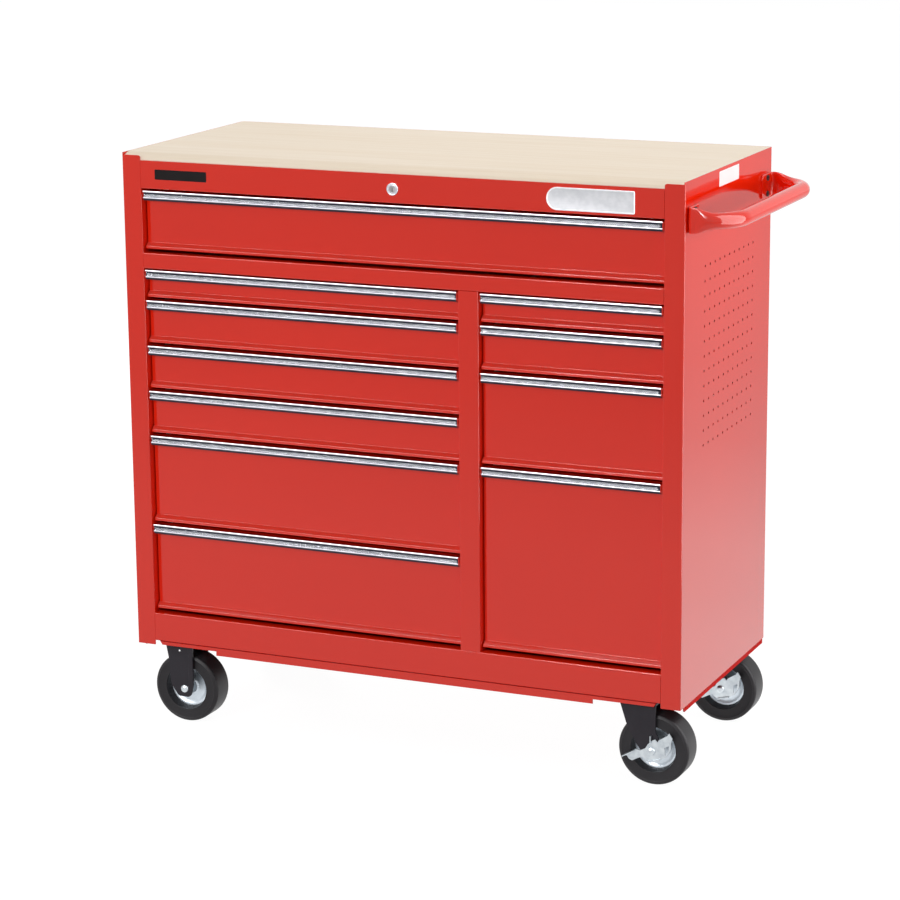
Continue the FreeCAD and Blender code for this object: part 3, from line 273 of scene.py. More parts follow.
def hardwood():
    """Staves, streaks and pores, each a ramp on its own stretched noise, mixed in turn."""
    material, tree, surface = new_finish("sealed_maple_board")
    stave = cloudy(tree, GRAIN["stave"])
    streak = cloudy(tree, GRAIN["streak"], detail=4.0)
    pore = cloudy(tree, GRAIN["pore"])
    base = add(tree, "ShaderNodeValToRGB", {"Fac": stave},
               stops=[(0.3, "#ECDAC2"), (0.7, "#F0E1CD")])
    band = add(tree, "ShaderNodeValToRGB", {"Fac": streak},
               stops=[(0.32, "#E6D3B8"), (0.62, "#F3E5D2")])
    fleck = add(tree, "ShaderNodeValToRGB", {"Fac": pore},
                stops=[(0.3, "#DAC3A1"), (0.5, "#F0E1CC")])
    half = add(tree, "ShaderNodeMix", {
        "Factor": STREAK_SHARE, "A": base.outputs["Color"], "B": band.outputs["Color"]},
        data_type="RGBA")
    whole = add(tree, "ShaderNodeMix", {
        "Factor": PORE_SHARE, "A": half.outputs["Result"], "B": fleck.outputs["Color"]},
        data_type="RGBA")
    ripple = add(tree, "ShaderNodeBump", {"Height": pore, "Distance": PORE_DEPTH * MM})
    fill(tree, surface, {
        "Base Color": whole.outputs["Result"], "Roughness": 0.5, "Specular IOR Level": 0.25,
        "Coat Weight": 0.1, "Coat Roughness": 0.3, "Normal": ripple.outputs["Normal"]})
    return material


maple = hardwood()
print(maple.name)

# %% [markdown]
# Tyres are moulded rubber: dark, dull, slightly dusty. Forks are stamped steel with a charcoal
# stoving paint, whose fine texture takes the edge off its gloss. Screws are blackened steel, and
# the labels are thin films. Each could have a network of its own, but they differ only in numbers,
# so one function makes such a mottled finish from its two shades, its mean roughness, its grain
# and the grain's depth in millimetres, and how strongly it mirrors. The grain of all of them is
# drawn a few times coarser than the real one, so that it shows.

# %% Rubber, stoving paint, blackened steel and film
MOTTLE = 45.0
GRAIN_ROUGHNESS = 0.06


def mottled(name, light, dark, rough, grain_size, depth, mirror, metallic=0.0):
    """A dull finish whose shade is mottled and whose roughness follows a fine grain."""
    material, tree, surface = new_finish(name)
    cloud = cloudy(tree, [MOTTLE] * 3)
    colour = add(tree, "ShaderNodeValToRGB", {"Fac": cloud}, stops=[(0.35, dark), (0.65, light)])
    grain = cloudy(tree, [grain_size] * 3, detail=3.0, roughness=0.6)
    rough_here = add(tree, "ShaderNodeMapRange", {
        "Value": grain, "To Min": rough - GRAIN_ROUGHNESS, "To Max": rough + GRAIN_ROUGHNESS})
    ripple = add(tree, "ShaderNodeBump", {"Height": grain, "Distance": depth * MM})
    fill(tree, surface, {
        "Base Color": colour.outputs["Color"], "Metallic": metallic,
        "Roughness": rough_here.outputs["Result"], "Specular IOR Level": mirror,
        "Normal": ripple.outputs["Normal"]})
    return material


rubber = mottled("moulded_rubber", "#2D2B2E", "#272528", 0.45, 1.2, 0.04, 0.25)
charcoal = mottled("charcoal_stoving_paint", "#302D33", "#2B282E", 0.42, 1.6, 0.03, 0.2)
black_steel = mottled("blackened_steel", "#3A3A3A", "#2B2B2B", 0.4, 0.8, 0.03, 0.5, metallic=0.5)
vinyl = mottled("black_vinyl_film", "#150E10", "#0F0A0B", 0.4, 1.0, 0.01, 0.15)
paper = mottled("white_film_label", "#FAFAFA", "#F6F6F6", 0.4, 1.0, 0.01, 0.5)
print(rubber.name, charcoal.name, black_steel.name, vinyl.name, paper.name)

# %% [markdown]
# Sixty solids could each be given a material by name, but every solid names its finish in its
# record, so one table from finish to material dresses them all. Only the lock's plug departs from
# its record: it gets a darker, duller steel.

# %% Dress the solids
SLOT_MATERIALS = {
    "red_powder_coat": red, "chrome_pull": chrome, "hardwood": maple, "zinc_steel": zinc,
    "black_oxide": black_steel, "brushed_plate": brushed, "dark_fork_paint": charcoal,
    "tyre_rubber": rubber, "wheel_disc": disc_zinc}

subparts = frame["record"]["subparts"]
for entry in subparts:
    mesh = nodes[entry["node"]].data
    mesh.materials.clear()
    mesh.materials.append(SLOT_MATERIALS[entry["material_slot"]])
nodes["lock_plug"].data.materials[0] = dark_plug_steel
print("dressed", len(subparts), "solids")

# %% [markdown]
# A drawer's solid also holds the slide members and the catch that ride with it. These are plain
# zinc, so faces beside the tray and behind it get a second material, and the slope of the rolled
# lip under the front gets a third, the paler red of a painted sheen. On the pan, the strips that
# look sideways get the darker red without clear film, which is painted shade. The solids could be
# cut apart for this, but their meshes have to stay as they are. So faces are told apart by where
# they lie and which way they look, and only their slots change.

# %% Second finishes on drawers and pan
TRAY_INSET = 10.95    # from the side of the solid to just inside the tray's outer skin
SLIDE_START = 28.2    # behind the posts' front plane
TRAY_REAR = 423.2
LIP_HEIGHT = 12.5
LOOKS_UP = 0.6        # least share of a normal for a face that looks up, forwards or sideways
LOOKS_FORWARD = 0.4
LOOKS_SIDEWAYS = 0.5

beside, behind = place(0, SLIDE_START, 0).y, place(0, TRAY_REAR, 0).y
drawer_boxes = [name for name in nodes if name.startswith("drawer_") and name.endswith("_box")]
for name in drawer_boxes:
    low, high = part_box(name)
    left, right = low.x + TRAY_INSET * MM, high.x - TRAY_INSET * MM
    lip_top = low.z + LIP_HEIGHT * MM
    mesh = nodes[name].data
    mesh.materials.append(zinc)
    mesh.materials.append(lip_red_painted_sheen)
    for face in mesh.polygons:
        spot, normal = face.center, face.normal
        if spot.y > behind or (spot.y > beside and not left < spot.x < right):
            face.material_index = 1
        # Slopes of the lip that look up and forward get the paler red of a painted sheen.
        elif spot.z < lip_top and normal.z > LOOKS_UP and normal.y < -LOOKS_FORWARD:
            face.material_index = 2

pan = nodes["base_pan"].data
pan.materials[0] = red_with_shade_line
pan.materials.append(red_painted_side_shade)
for face in pan.polygons:
    # Sideways faces of the pan get the darker red without film, painted shade.
    if abs(face.normal.x) > LOOKS_SIDEWAYS:
        face.material_index = 1
print("zinc slides and paler lips on", len(drawer_boxes), "drawers")

# %% [markdown]
# Meshes built by code all go through one function, which makes an object from points and faces,
# turns its faces outwards and smooths those that meet gently. Blender's add commands would leave a
# piece moved, turned or scaled, while this leaves every object at the origin with its place in its
# mesh. A second function names the body that the piece rides on.

# %% Objects from points and faces
WELD = 1e-6           # points closer than this, in metres, are one


def new_piece(name, points, faces, materials, smooth_angle=35):
    """An object at the origin from points in metres, with its normals outwards."""
    mesh = bpy.data.meshes.new(name)
    mesh.from_pydata([tuple(p) for p in points], [], faces)
    build = bmesh.new()
    build.from_mesh(mesh)
    bmesh.ops.remove_doubles(build, verts=build.verts, dist=WELD)
    bmesh.ops.recalc_face_normals(build, faces=build.faces)
    gentle = math.radians(smooth_angle)
    for edge in build.edges:
        edge.smooth = len(edge.link_faces) == 2 and edge.calc_face_angle(0) < gentle
    for face in build.faces:
        face.smooth = True
    build.to_mesh(mesh)
    build.free()
    item = bpy.data.objects.new(name, mesh)
    bpy.context.scene.collection.objects.link(item)
    for material in materials:
        mesh.materials.append(material)
    return item


def settle(item, body, slot, *replaced):
    """Let a finished piece ride on its body and stand for the solids that it replaces."""
    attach(item, body)
    if replaced:
        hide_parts(*replaced)


print("points closer than", WELD, "m are welded")

# %% [markdown]
# Most of these pieces have one section all along, or turn about one axle. Bevelled curves and the
# Screw modifier make such shapes too, but a section that is a short list in millimetres can be
# checked against a drawing. So arc draws the round parts of a section, lathe turns it about an
# axle, and sweep joins rings of points by a skin.


# %% Shapes from sections
def arc(centre, radius, start, stop, steps):
    """(across, up) points on an arc, angles in degrees."""
    turns = [math.radians(start + (stop - start) * k / steps) for k in range(steps + 1)]
    return [(centre[0] + radius * math.cos(t), centre[1] + radius * math.sin(t)) for t in turns]


def lathe(profile, centre, steps=96):
    """A closed section of (along, radius) in millimetres, turned about an axle parallel to Y."""
    count = len(profile)
    points, faces = [], []
    for step in range(steps):
        turn = 2 * math.pi * step / steps
        for along, radius in profile:
            points.append(place(centre[0] + radius * math.cos(turn), centre[1] + along,
                                centre[2] + radius * math.sin(turn)))
    for step in range(steps):
        here, there = step * count, (step + 1) % steps * count
        for i in range(count):
            j = (i + 1) % count
            faces.append((here + i, here + j, there + j, there + i))
    return points, faces


def sweep(rings):
    """A skin through rings that all have the same number of points, with both ends closed."""
    count = len(rings[0])
    points = [p for ring in rings for p in ring]
    faces = [tuple(range(count)), tuple(range(len(points) - count, len(points)))]
    for k in range(len(rings) - 1):
        here, there = k * count, (k + 1) * count
        for i in range(count):
            j = (i + 1) % count
            faces.append((here + i, here + j, there + j, there + i))
    return points, faces


print("a quarter circle in", len(arc((0, 0), 1, 0, 90, 10)) - 1, "steps")

# %% [markdown]
# Each pull is a thin bright strip over the top of a drawer front. From the front it shows a round
# bead at the top, a dark sunken channel whose lower part is filled by knurling, a second bead, and
# a dark step under it for the fingers. A bevelled box has none of these. The real strip is bent by
# shaped rollers as it runs through them, so it is made here in the same way, as one section pushed
# along the drawer.

# %% Section of a pull
PULL_HEIGHT = 17.4
PULL_DEPTH = 8.0
CHANNEL = {"top": 3.2, "low": 11.2, "face": 1.15}
STEP = {"top": 14.4, "face": 1.6}


def pull_section():
    """(back from the front plane, down from the top) round the strip, in millimetres."""
    top_bead = [(back, -down) for back, down in arc((1.75, -1.75), 1.7, 90, 225, 9)]
    low_bead = [(back, -down) for back, down in arc((1.7, -12.8), 1.6, 110, 250, 9)]
    grip = [(back, -down) for back, down in arc((3.0, -16.0), 1.4, 180, 270, 5)]
    inside = [(7.0, PULL_HEIGHT), (7.0, 16.4), (2.7, 16.4), (2.7, 14.6), (1.95, 14.5), (1.95, 1.15)]
    return ([(PULL_DEPTH, 0.05)] + top_bead + [(CHANNEL["face"], CHANNEL["top"] + 0.1)]
            + [(CHANNEL["face"], CHANNEL["low"])] + low_bead + [(STEP["face"], STEP["top"])]
            + grip + inside + [(PULL_DEPTH, 1.15)])


print("pull section of", len(pull_section()), "points")

# %% [markdown]
# Knurling is hundreds of little domes pressed into the channel in three staggered rows, the lower
# rows larger. Bump could hint at them, but the mesh would stay smooth. Repeats are what Geometry
# Nodes are for. First comes a line of points, each moved to its row and column by arithmetic on its
# index. The real knurl is finer than a pixel from where the picture is taken, so the pitch is as
# coarse as the picture shows it.

# %% Rows of points
KNURL = {"Pitch": 3.2 * MM, "Row Step": 1.75 * MM, "Dome Radius": 0.8 * MM, "Growth": 0.15 * MM,
         "Flatness": 0.5}


def knurl_rows(tree, given):
    """A point for each dome, placed by its index in its row and column, and its row's number."""
    count = add(tree, "ShaderNodeMath", {0: given["Columns"], 1: given["Rows"]},
                operation="MULTIPLY").outputs[0]
    line = add(tree, "GeometryNodeMeshLine", {"Count": count, "Offset": (0, 0, 0)}).outputs[0]
    index = add(tree, "GeometryNodeInputIndex").outputs[0]
    share = add(tree, "ShaderNodeMath", {0: index, 1: given["Columns"]},
                operation="DIVIDE").outputs[0]
    row = add(tree, "ShaderNodeMath", {0: share}, operation="FLOOR").outputs[0]
    column = add(tree, "ShaderNodeMath", {0: index, 1: given["Columns"]},
                 operation="MODULO").outputs[0]
    # Every other row is moved sideways by half a pitch.
    odd = add(tree, "ShaderNodeMath", {0: row, 1: 2.0}, operation="MODULO").outputs[0]
    shifted = add(tree, "ShaderNodeMath", {0: odd, 1: 0.5, 2: column},
                  operation="MULTIPLY_ADD").outputs[0]
    along = add(tree, "ShaderNodeMath", {0: shifted, 1: given["Pitch"]},
                operation="MULTIPLY").outputs[0]
    down = add(tree, "ShaderNodeMath", {0: row, 1: given["Row Step"]},
               operation="MULTIPLY").outputs[0]
    lower = add(tree, "ShaderNodeMath", {0: 0.0, 1: down}, operation="SUBTRACT").outputs[0]
    offset = add(tree, "ShaderNodeCombineXYZ", {"X": along, "Z": lower}).outputs[0]
    spot = add(tree, "ShaderNodeVectorMath", {0: given["Start"], 1: offset},
               operation="ADD").outputs[0]
    spread = add(tree, "GeometryNodeSetPosition", {"Geometry": line, "Position": spot}).outputs[0]
    return spread, row


print("knurl of", round(KNURL["Pitch"] / MM, 1), "mm pitch")

# %% [markdown]
# Then a dome of 32 faces is set on each point, flatter than round and larger from row to row. The
# copies are made real geometry before the tree ends, because an export drops instances.

# %% Knurling by Geometry Nodes
DOME = {"Segments": 8, "Rings": 4, "Radius": 1.0}


def knurl_tree():
    """Rows of domes added to the geometry that comes in, at sizes given by named inputs."""
    tree = bpy.data.node_groups.new("knurl_rows", "GeometryNodeTree")
    sockets = {"Geometry": "NodeSocketGeometry", "Columns": "NodeSocketInt",
               "Rows": "NodeSocketInt", "Start": "NodeSocketVector",
               "Material": "NodeSocketMaterial"}
    sockets.update({name: "NodeSocketFloat" for name in KNURL})
    for name, kind in sockets.items():
        tree.interface.new_socket(name, in_out="INPUT", socket_type=kind)
    tree.interface.new_socket("Geometry", in_out="OUTPUT", socket_type="NodeSocketGeometry")
    given = add(tree, "NodeGroupInput").outputs
    points, row = knurl_rows(tree, given)
    radius = add(tree, "ShaderNodeMath", {0: row, 1: given["Growth"], 2: given["Dome Radius"]},
                 operation="MULTIPLY_ADD").outputs[0]
    flat = add(tree, "ShaderNodeMath", {0: radius, 1: given["Flatness"]},
               operation="MULTIPLY").outputs[0]
    size = add(tree, "ShaderNodeCombineXYZ", {"X": radius, "Y": flat, "Z": radius}).outputs[0]
    dome = add(tree, "GeometryNodeMeshUVSphere", DOME).outputs[0]
    copies = add(tree, "GeometryNodeInstanceOnPoints", {
        "Points": points, "Instance": dome, "Scale": size}).outputs[0]
    real = add(tree, "GeometryNodeRealizeInstances", {"Geometry": copies}).outputs[0]
    smooth = add(tree, "GeometryNodeSetShadeSmooth", {"Geometry": real}).outputs[0]
    coated = add(tree, "GeometryNodeSetMaterial", {
        "Geometry": smooth, "Material": given["Material"]}).outputs[0]
    both = add(tree, "GeometryNodeJoinGeometry", {"Geometry": given["Geometry"]})
    fill(tree, both, {"Geometry": coated})
    add(tree, "NodeGroupOutput", {"Geometry": both.outputs[0]})
    return tree


knurling = knurl_tree()
print("knurl tree of", len(knurling.nodes), "nodes")

# %% [markdown]
# The strip is polished, apart from its channel and step, whose dark tint is a painted dark
# reflection and a painted shade, and its satin lower bead. A face gets its material from where it
# lies on the section. Then the knurling comes as a modifier, whose inputs are set by each socket's
# identifier before anything is evaluated. A live modifier would do for a render, but other programs
# read plain meshes, so the result is made one and the modifier goes.

# %% Pulls
KNURL_ROWS = 3
KNURL_TOP = 6.9       # from the top of the strip down to the first row
KNURL_START = 0.75    # in pitches, from the strip's end to the first dome
CHANNEL_REACH = 1.5   # faces of the channel lie no further back than this
FRONT_REACH = 3.0     # nor other faces that show from the front
LOOKS_ALONG = 0.9     # least share of the normal of the strip's ends


def colour_pull(piece, low, high):
    """Give the channel and step the dark tint, a painted dark reflection and painted shade, and the
    lower bead satin.
    """
    for face in piece.data.polygons:
        down, back = (high.z - face.center.z) / MM, (face.center.y - low.y) / MM
        sunken = CHANNEL["top"] < down < CHANNEL["low"] and back < CHANNEL_REACH
        stepped = down > STEP["top"] and back < FRONT_REACH
        # Channel and step get the dark tint: painted dark reflection in the channel, painted shade
        # on the step.
        if abs(face.normal.x) < LOOKS_ALONG and (sunken or stepped):
            face.material_index = 1
        elif CHANNEL["low"] <= down <= STEP["top"] and back < FRONT_REACH:
            face.material_index = 2


def knurl(piece, low, high):
    """Add the rows of domes to a strip, and leave it a plain mesh."""
    columns = int((high.x - low.x) / KNURL["Pitch"]) - 1
    start = Vector((low.x + KNURL["Pitch"] * KNURL_START, low.y + CHANNEL["face"] * MM,
                    high.z - KNURL_TOP * MM))
    values = dict(KNURL, Columns=columns, Rows=KNURL_ROWS, Start=start, Material=knurl_chrome)
    modifier = piece.modifiers.new("knurling", "NODES")
    modifier.node_group = knurling
    for socket in knurling.interface.items_tree:
        if socket.in_out == "INPUT" and socket.name in values:
            modifier[socket.identifier] = values[socket.name]
    evaluated = piece.evaluated_get(bpy.context.evaluated_depsgraph_get())
    knurled = bpy.data.meshes.new_from_object(evaluated)
    piece.modifiers.clear()
    piece.data = knurled


def build_pull(node):
    """The strip that stands for one pull's solid, on the drawer of the same name."""
    low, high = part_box(node)
    rings = [[Vector((x, low.y + back * MM, high.z - down * MM)) for back, down in pull_section()]
             for x in (low.x, high.x)]
    piece = new_piece(node.replace("_pull", "_bright_strip"), *sweep(rings),
                      [chrome, pull_painted_reflection_and_shade, bead_chrome], smooth_angle=40)
    colour_pull(piece, low, high)
    knurl(piece, low, high)
    settle(piece, node.rsplit("_", 1)[0], "chrome_pull", node)
    return piece


strips = [build_pull(name) for name in sorted(nodes) if name.endswith("_pull")]
print(len(strips), "pulls of", sum(len(strip.data.polygons) for strip in strips), "faces")

# %% [markdown]
# A wheel is a solid rubber tyre on a pressed disc. The tyre's flat side ends in a fine moulded
# ridge before the rounded tread, and a deep mouth leads down to the disc. A torus and a cylinder
# would miss all of that. So both are drawn as half a section, mirrored and turned about the axle,
# which is how moulds and presses for round parts are cut too.

# %% Tyres and wheel discs
TYRE = {"radius": 63.5, "half": 24.0, "mouth": 40.3, "bead": 57.2, "round": 5.2}
RIDGE = {"radius": 0.8, "proud": 0.6}
DISC = {"radius": 37.2, "half": 8.0, "dish": 2.5}
HUB_FACE = -26.0
AXLE_Z = 63.5
WHEELS = {"front_left": (-436.0, 45.0), "rear_left": (-436.0, 412.2),
          "front_right": (465.0, 45.0), "rear_right": (465.0, 412.2)}


def both_sides(half):
    """A section given for one side of the wheel, completed with its mirror image."""
    return half + [(-along, radius) for along, radius in reversed(half)]


def tyre_section():
    """(along the axle, radius): mouth, ridge, flat side, ridge and half of the tread, mirrored."""
    side, mouth, bead = -TYRE["half"] + RIDGE["proud"], TYRE["mouth"], TYRE["bead"]
    inner_bead = arc((side + 0.2, mouth + 1.0), RIDGE["radius"], 250, 110, 8)
    outer_bead = arc((side + 0.2, bead), RIDGE["radius"], 240, 130, 8)
    crown = arc((side + TYRE["round"], TYRE["radius"] - TYRE["round"]), TYRE["round"], 165, 90, 9)
    return both_sides([(-DISC["half"], DISC["radius"]), (side + 1.2, mouth)] + inner_bead
                      + [(side, mouth + 2.6), (side, bead - 1.4)] + outer_bead + crown)


def disc_section():
    """(along the axle, radius): hub, dished floor and raised rim of the disc, mirrored."""
    rim, floor = -DISC["half"], -DISC["half"] + DISC["dish"]
    hub = [(HUB_FACE, 5.6), (HUB_FACE, 9.0), (HUB_FACE + 1.0, 10.0)]
    dish = [(floor - 4, 11.5), (floor - 1.5, 13.0), (floor - 0.4, 15.0), (floor, 17.5),
            (floor, 28.0), (floor - 0.5, 31.0)]
    return both_sides(hub + dish + [(rim + 0.4, 33.5), (rim, 35.0), (rim, DISC["radius"])])


for corner, (x, y) in WHEELS.items():
    body, centre = "wheel_" + corner, (x, y, AXLE_Z)
    tyre = new_piece("rubber_tyre_" + corner, *lathe(tyre_section(), centre), [rubber])
    settle(tyre, body, "tyre_rubber", "tyre_" + corner)
    disc = new_piece("wheel_disc_" + corner, *lathe(disc_section(), centre), [disc_zinc])
    settle(disc, body, "wheel_disc", "hub_" + corner)
print("turned", len(WHEELS), "wheels")

# %% [markdown]
# The handle is one steel tube. Its ends are pressed flat and folded against the wall as feet. A
# curve with a round bevel would give the tube but not the feet, and a joint between the two would
# show as a crease. So one skin goes from a thin plate with rounded corners through an oval to a
# round tube. It is swept through rings whose width, height and squareness change along the path,
# for one half, and mirrored.

# %% Handle
TUBE = 13.5           # half the tube's diameter
FOOT = {"thick": 2.0, "tall": 21.2, "length": 52.0, "leg": 10.6, "round": 9.0, "fold": 5.0}
BEND = 64.0
HANDLE_Z = 977.5
SQUARE, OVAL = 5, 2   # exponents of the outline of the foot and of the tube
TURNS_OVAL = 1.6      # the outline is an oval well before the tube is round
FLATTENING = ((0, 0.0), (4, 0.1), (8, 0.25), (12, 0.43), (16, 0.6), (20, 0.75), (25, 0.89),
              (30, 0.97), (35, 1.0)) + tuple((angle, 1.0) for angle in range(40, 91, 5))


def oval(spot, outward, thick, tall, power, count=40):
    """A squared-off oval round a point of the path; outward is the direction of its thickness."""
    out = []
    for k in range(count):
        c, s = math.cos(2 * math.pi * k / count), math.sin(2 * math.pi * k / count)
        across = thick * math.copysign(abs(c) ** (2 / power), c)
        rise = tall * math.copysign(abs(s) ** (2 / power), s)
        out.append(place(spot[0] + outward[0] * across, spot[1] + outward[1] * across,
                         HANDLE_Z + rise))
    return out


def handle_half():
    """Rings from the tip of the front foot round the bend to the start of the grip."""
    thick, tall, tip, fold = FOOT["thick"], FOOT["tall"], FOOT["round"], FOOT["fold"]
    tip_y = FOOT["leg"] + FOOT["length"]
    rings = []
    for y, half in arc((tip_y - tip, tall - tip), tip, 0, 90, 8):
        rings.append(oval((WALL + thick, y), (1, 0), thick, half, SQUARE))
    for x, y in arc((0, 0), 1, 0, 90, 6):
        spot = (WALL + thick + fold - fold * x, FOOT["leg"] + fold - fold * y)
        rings.append(oval(spot, (x, y), thick, tall, SQUARE))
    centre = (WALL + HANDLE_REACH - TUBE - BEND, FOOT["leg"] + BEND)
    for angle, roundness in FLATTENING:
        turn = math.radians(angle)
        spot = (centre[0] + BEND * math.sin(turn), centre[1] - BEND * math.cos(turn))
        rings.append(oval(spot, (-math.sin(turn), math.cos(turn)),
                          thick + (TUBE - thick) * roundness, tall + (TUBE - tall) * roundness,
                          SQUARE - (SQUARE - OVAL) * min(1.0, roundness * TURNS_OVAL)))
    return rings


front_half = handle_half()
middle = place(0, CABINET_DEPTH / 2, 0).y
rear_half = [[Vector((p.x, 2 * middle - p.y, p.z)) for p in ring] for ring in reversed(front_half)]
handle = new_piece("bent_tube_handle", *sweep(front_half + rear_half), [red], smooth_angle=50)
settle(handle, "cabinet", "red_powder_coat", "side_handle")
print("handle of", len(front_half) * 2, "rings")

# %% [markdown]
# The work top is one board. Its long front edge is rounded over with a router, so that it doesn't
# splinter and a hand can rest on it, and it catches the light there. A bevel would round every
# edge alike, so the board is a section pushed along the cabinet, like the pulls.

# %% Work top
ROUND_OVER = {"deep": 26.0, "tall": 13.0}


def board_section(low, high):
    """(y, z) round the board in metres, front edge rounded over."""
    deep, tall = ROUND_OVER["deep"] * MM, ROUND_OVER["tall"] * MM
    front = [(low.y + deep * (1 + y), high.z + tall * (z - 1))
             for y, z in arc((0, 0), 1, 180, 90, 14)]
    return front + [(high.y, high.z), (high.y, low.z), (low.y, low.z)]


low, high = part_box("wood_top")
section = board_section(low, high)
rings = [[Vector((x, y, z)) for y, z in section] for x in (low.x, high.x)]
board = new_piece("sealed_maple_board", *sweep(rings), [maple], smooth_angle=40)
settle(board, "cabinet", "hardwood", "wood_top")
print("board of", len(section), "points round its section")

# %% [markdown]
# Flat rounded plates turn up three times: the bare name plate, and two bare film labels. A
# bevelled box would have one corner radius, and the name plate has two, so a function lays out a
# rounded outline corner by corner.

# %% Outline of a plate
MIN_ROUND = 0.1


def rounded(left, right, low, high, round_left, round_right, inset=0.0):
    """Counter-clockwise outline of a plate whose left and right corners have their own radii."""
    left, right, low, high = left + inset, right - inset, low + inset, high - inset
    near, far = max(round_left - inset, MIN_ROUND), max(round_right - inset, MIN_ROUND)
    corners = ((right - far, low + far, far, -90), (right - far, high - far, far, 0),
               (left + near, high - near, near, 90), (left + near, low + near, near, 180))
    return [point for x, z, radius, start in corners
            for point in arc((x, z), radius, start, start + 90, 10)]


print("outline of", len(rounded(0, 20, 0, 10, 2, 2)), "points")

# %% [markdown]
# The name plate is stamped with a raised rim round a field that is etched and looks duller. The
# labels are films a quarter of a millimetre thick. Both could be painted on the sheet by a
# material, but a real edge catches the light, so each is a stack of outlines with a skin.

# %% Name plate and labels
PLATE = {"left": 278.5, "right": 433.8, "half": 19.2, "round_left": 19.15, "round_right": 3.0}
PLATE_RINGS = ((0.0, RAIL_FACE), (0.0, -0.7), (0.5, -1.2), (1.9, -1.2), (2.4, -0.55), (2.5, -0.5))
DARK_LABEL = {"left": -456.5, "right": -355.0, "low": 996.0, "high": 1013.7}
PALE_LABEL = {"left": 170.0, "right": 273.5, "low": 1010.0, "high": 1035.5}
LABEL_ROUND = 2.0
FILM = 0.25


def name_plate():
    """The plate from its back over the raised rim to the field: rings of (inset, depth)."""
    rings = []
    for inset, y in PLATE_RINGS:
        outline = rounded(PLATE["left"], PLATE["right"], LOCK_Z - PLATE["half"],
                          LOCK_Z + PLATE["half"], PLATE["round_left"], PLATE["round_right"], inset)
        rings.append([place(x, y, z) for x, z in outline])
    piece = new_piece("bare_name_plate", *sweep(rings), [brushed, etched], smooth_angle=30)
    for face in piece.data.polygons:
        is_end = len(face.vertices) > 4
        if is_end and face.center.y < place(0, 0, 0).y:
            face.material_index = 1
    return piece


def film(name, label, on_wall, start, end, material):
    """A thin film on the front rail or on the right wall, between two depths in millimetres."""
    outline = rounded(label["left"], label["right"], label["low"], label["high"],
                      LABEL_ROUND, LABEL_ROUND)
    rings = [[place(depth, across, up) if on_wall else place(across, depth, up)
              for across, up in outline] for depth in (start, end)]
    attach(new_piece(name, *sweep(rings), [material]), "cabinet")


settle(name_plate(), "cabinet", "brushed_plate", "name_plate")
film("dark_film_label", DARK_LABEL, False, RAIL_FACE, RAIL_FACE - FILM, vinyl)
film("pale_film_label", PALE_LABEL, True, WALL, WALL + FILM, paper)
print("one name plate and two bare labels")

# %% [markdown]
# The lock is a turned housing with a bright bezel, and a plug that turns inside it. The bezel's
# edge is rounded and its face is slightly dished towards the plug. Cut from a cylinder by
# booleans, it would have hard edges, so its section is turned, like the wheels.

# %% Lock
BEZEL_SECTION = [(-1.4, 6.0), (-1.5, 6.6), (-1.2, 8.0), (-1.7, 8.5), (-2.1, 9.1),
                 (-BEZEL_PROUD, 9.7), (-2.0, 10.4), (-1.5, 10.75), (RAIL_FACE, 10.8),
                 (RAIL_FACE, 8.5), (25.0, 8.5), (25.0, 6.0)]
bezel = new_piece("lock_bezel", *lathe(BEZEL_SECTION, (0, 0, LOCK_Z), steps=72), [knurl_chrome])
settle(bezel, "cabinet", "chrome_pull", "lock_housing")
print("bezel of", len(bezel.data.polygons), "faces")

# %% [markdown]
# The chest stands on pale studio paper, which holds its shadow. More light would turn the paper
# white, but would bleach the chest too. The light path node can tell what the camera and mirrors
# see from the light that falls on the chest, so only those two see the paper shine, and colours
# render as they are written. Gloss sees the paper brightest under and just behind the chest, where
# the lamps are aimed, and dimmer further out, which is what shades the glossy side wall.

# %% Floor
FLOOR_REACH = 14.0
CAMERA_WHITE = 1.2    # strength that the camera sees, a little past white
CAMERA_SHARE = 0.8    # the rest of the paper's look is lit, and so keeps the shadow
GLOW = [(-3.0, 0.72), (-1.5, 1.0), (-0.4, 1.0), (0.25, 1.5), (0.65, 1.46), (0.95, 1.34),
        (1.3, 1.27), (1.8, 1.04), (2.3, 0.84), (3.2, 0.72), (5.5, 0.66)]
GLOW_SPAN = 6.0
GLOW_TOP = 1.6        # a ramp ends at 1, so its levels are divided by this and multiplied again


def paper_glow(tree):
    """How bright gloss sees the paper, by its depth from front to back."""
    spot = add(tree, "ShaderNodeTexCoord").outputs["Object"]
    depth = add(tree, "ShaderNodeSeparateXYZ", {"Vector": spot}).outputs["Y"]
    share = add(tree, "ShaderNodeMapRange", {
        "Value": depth, "From Min": -GLOW_SPAN, "From Max": GLOW_SPAN}).outputs["Result"]
    stops = [((y + GLOW_SPAN) / (2 * GLOW_SPAN), level / GLOW_TOP) for y, level in GLOW]
    glow = add(tree, "ShaderNodeValToRGB", {"Fac": share}, stops=stops).outputs["Color"]
    return add(tree, "ShaderNodeMath", {0: glow, 1: GLOW_TOP}, operation="MULTIPLY").outputs[0]


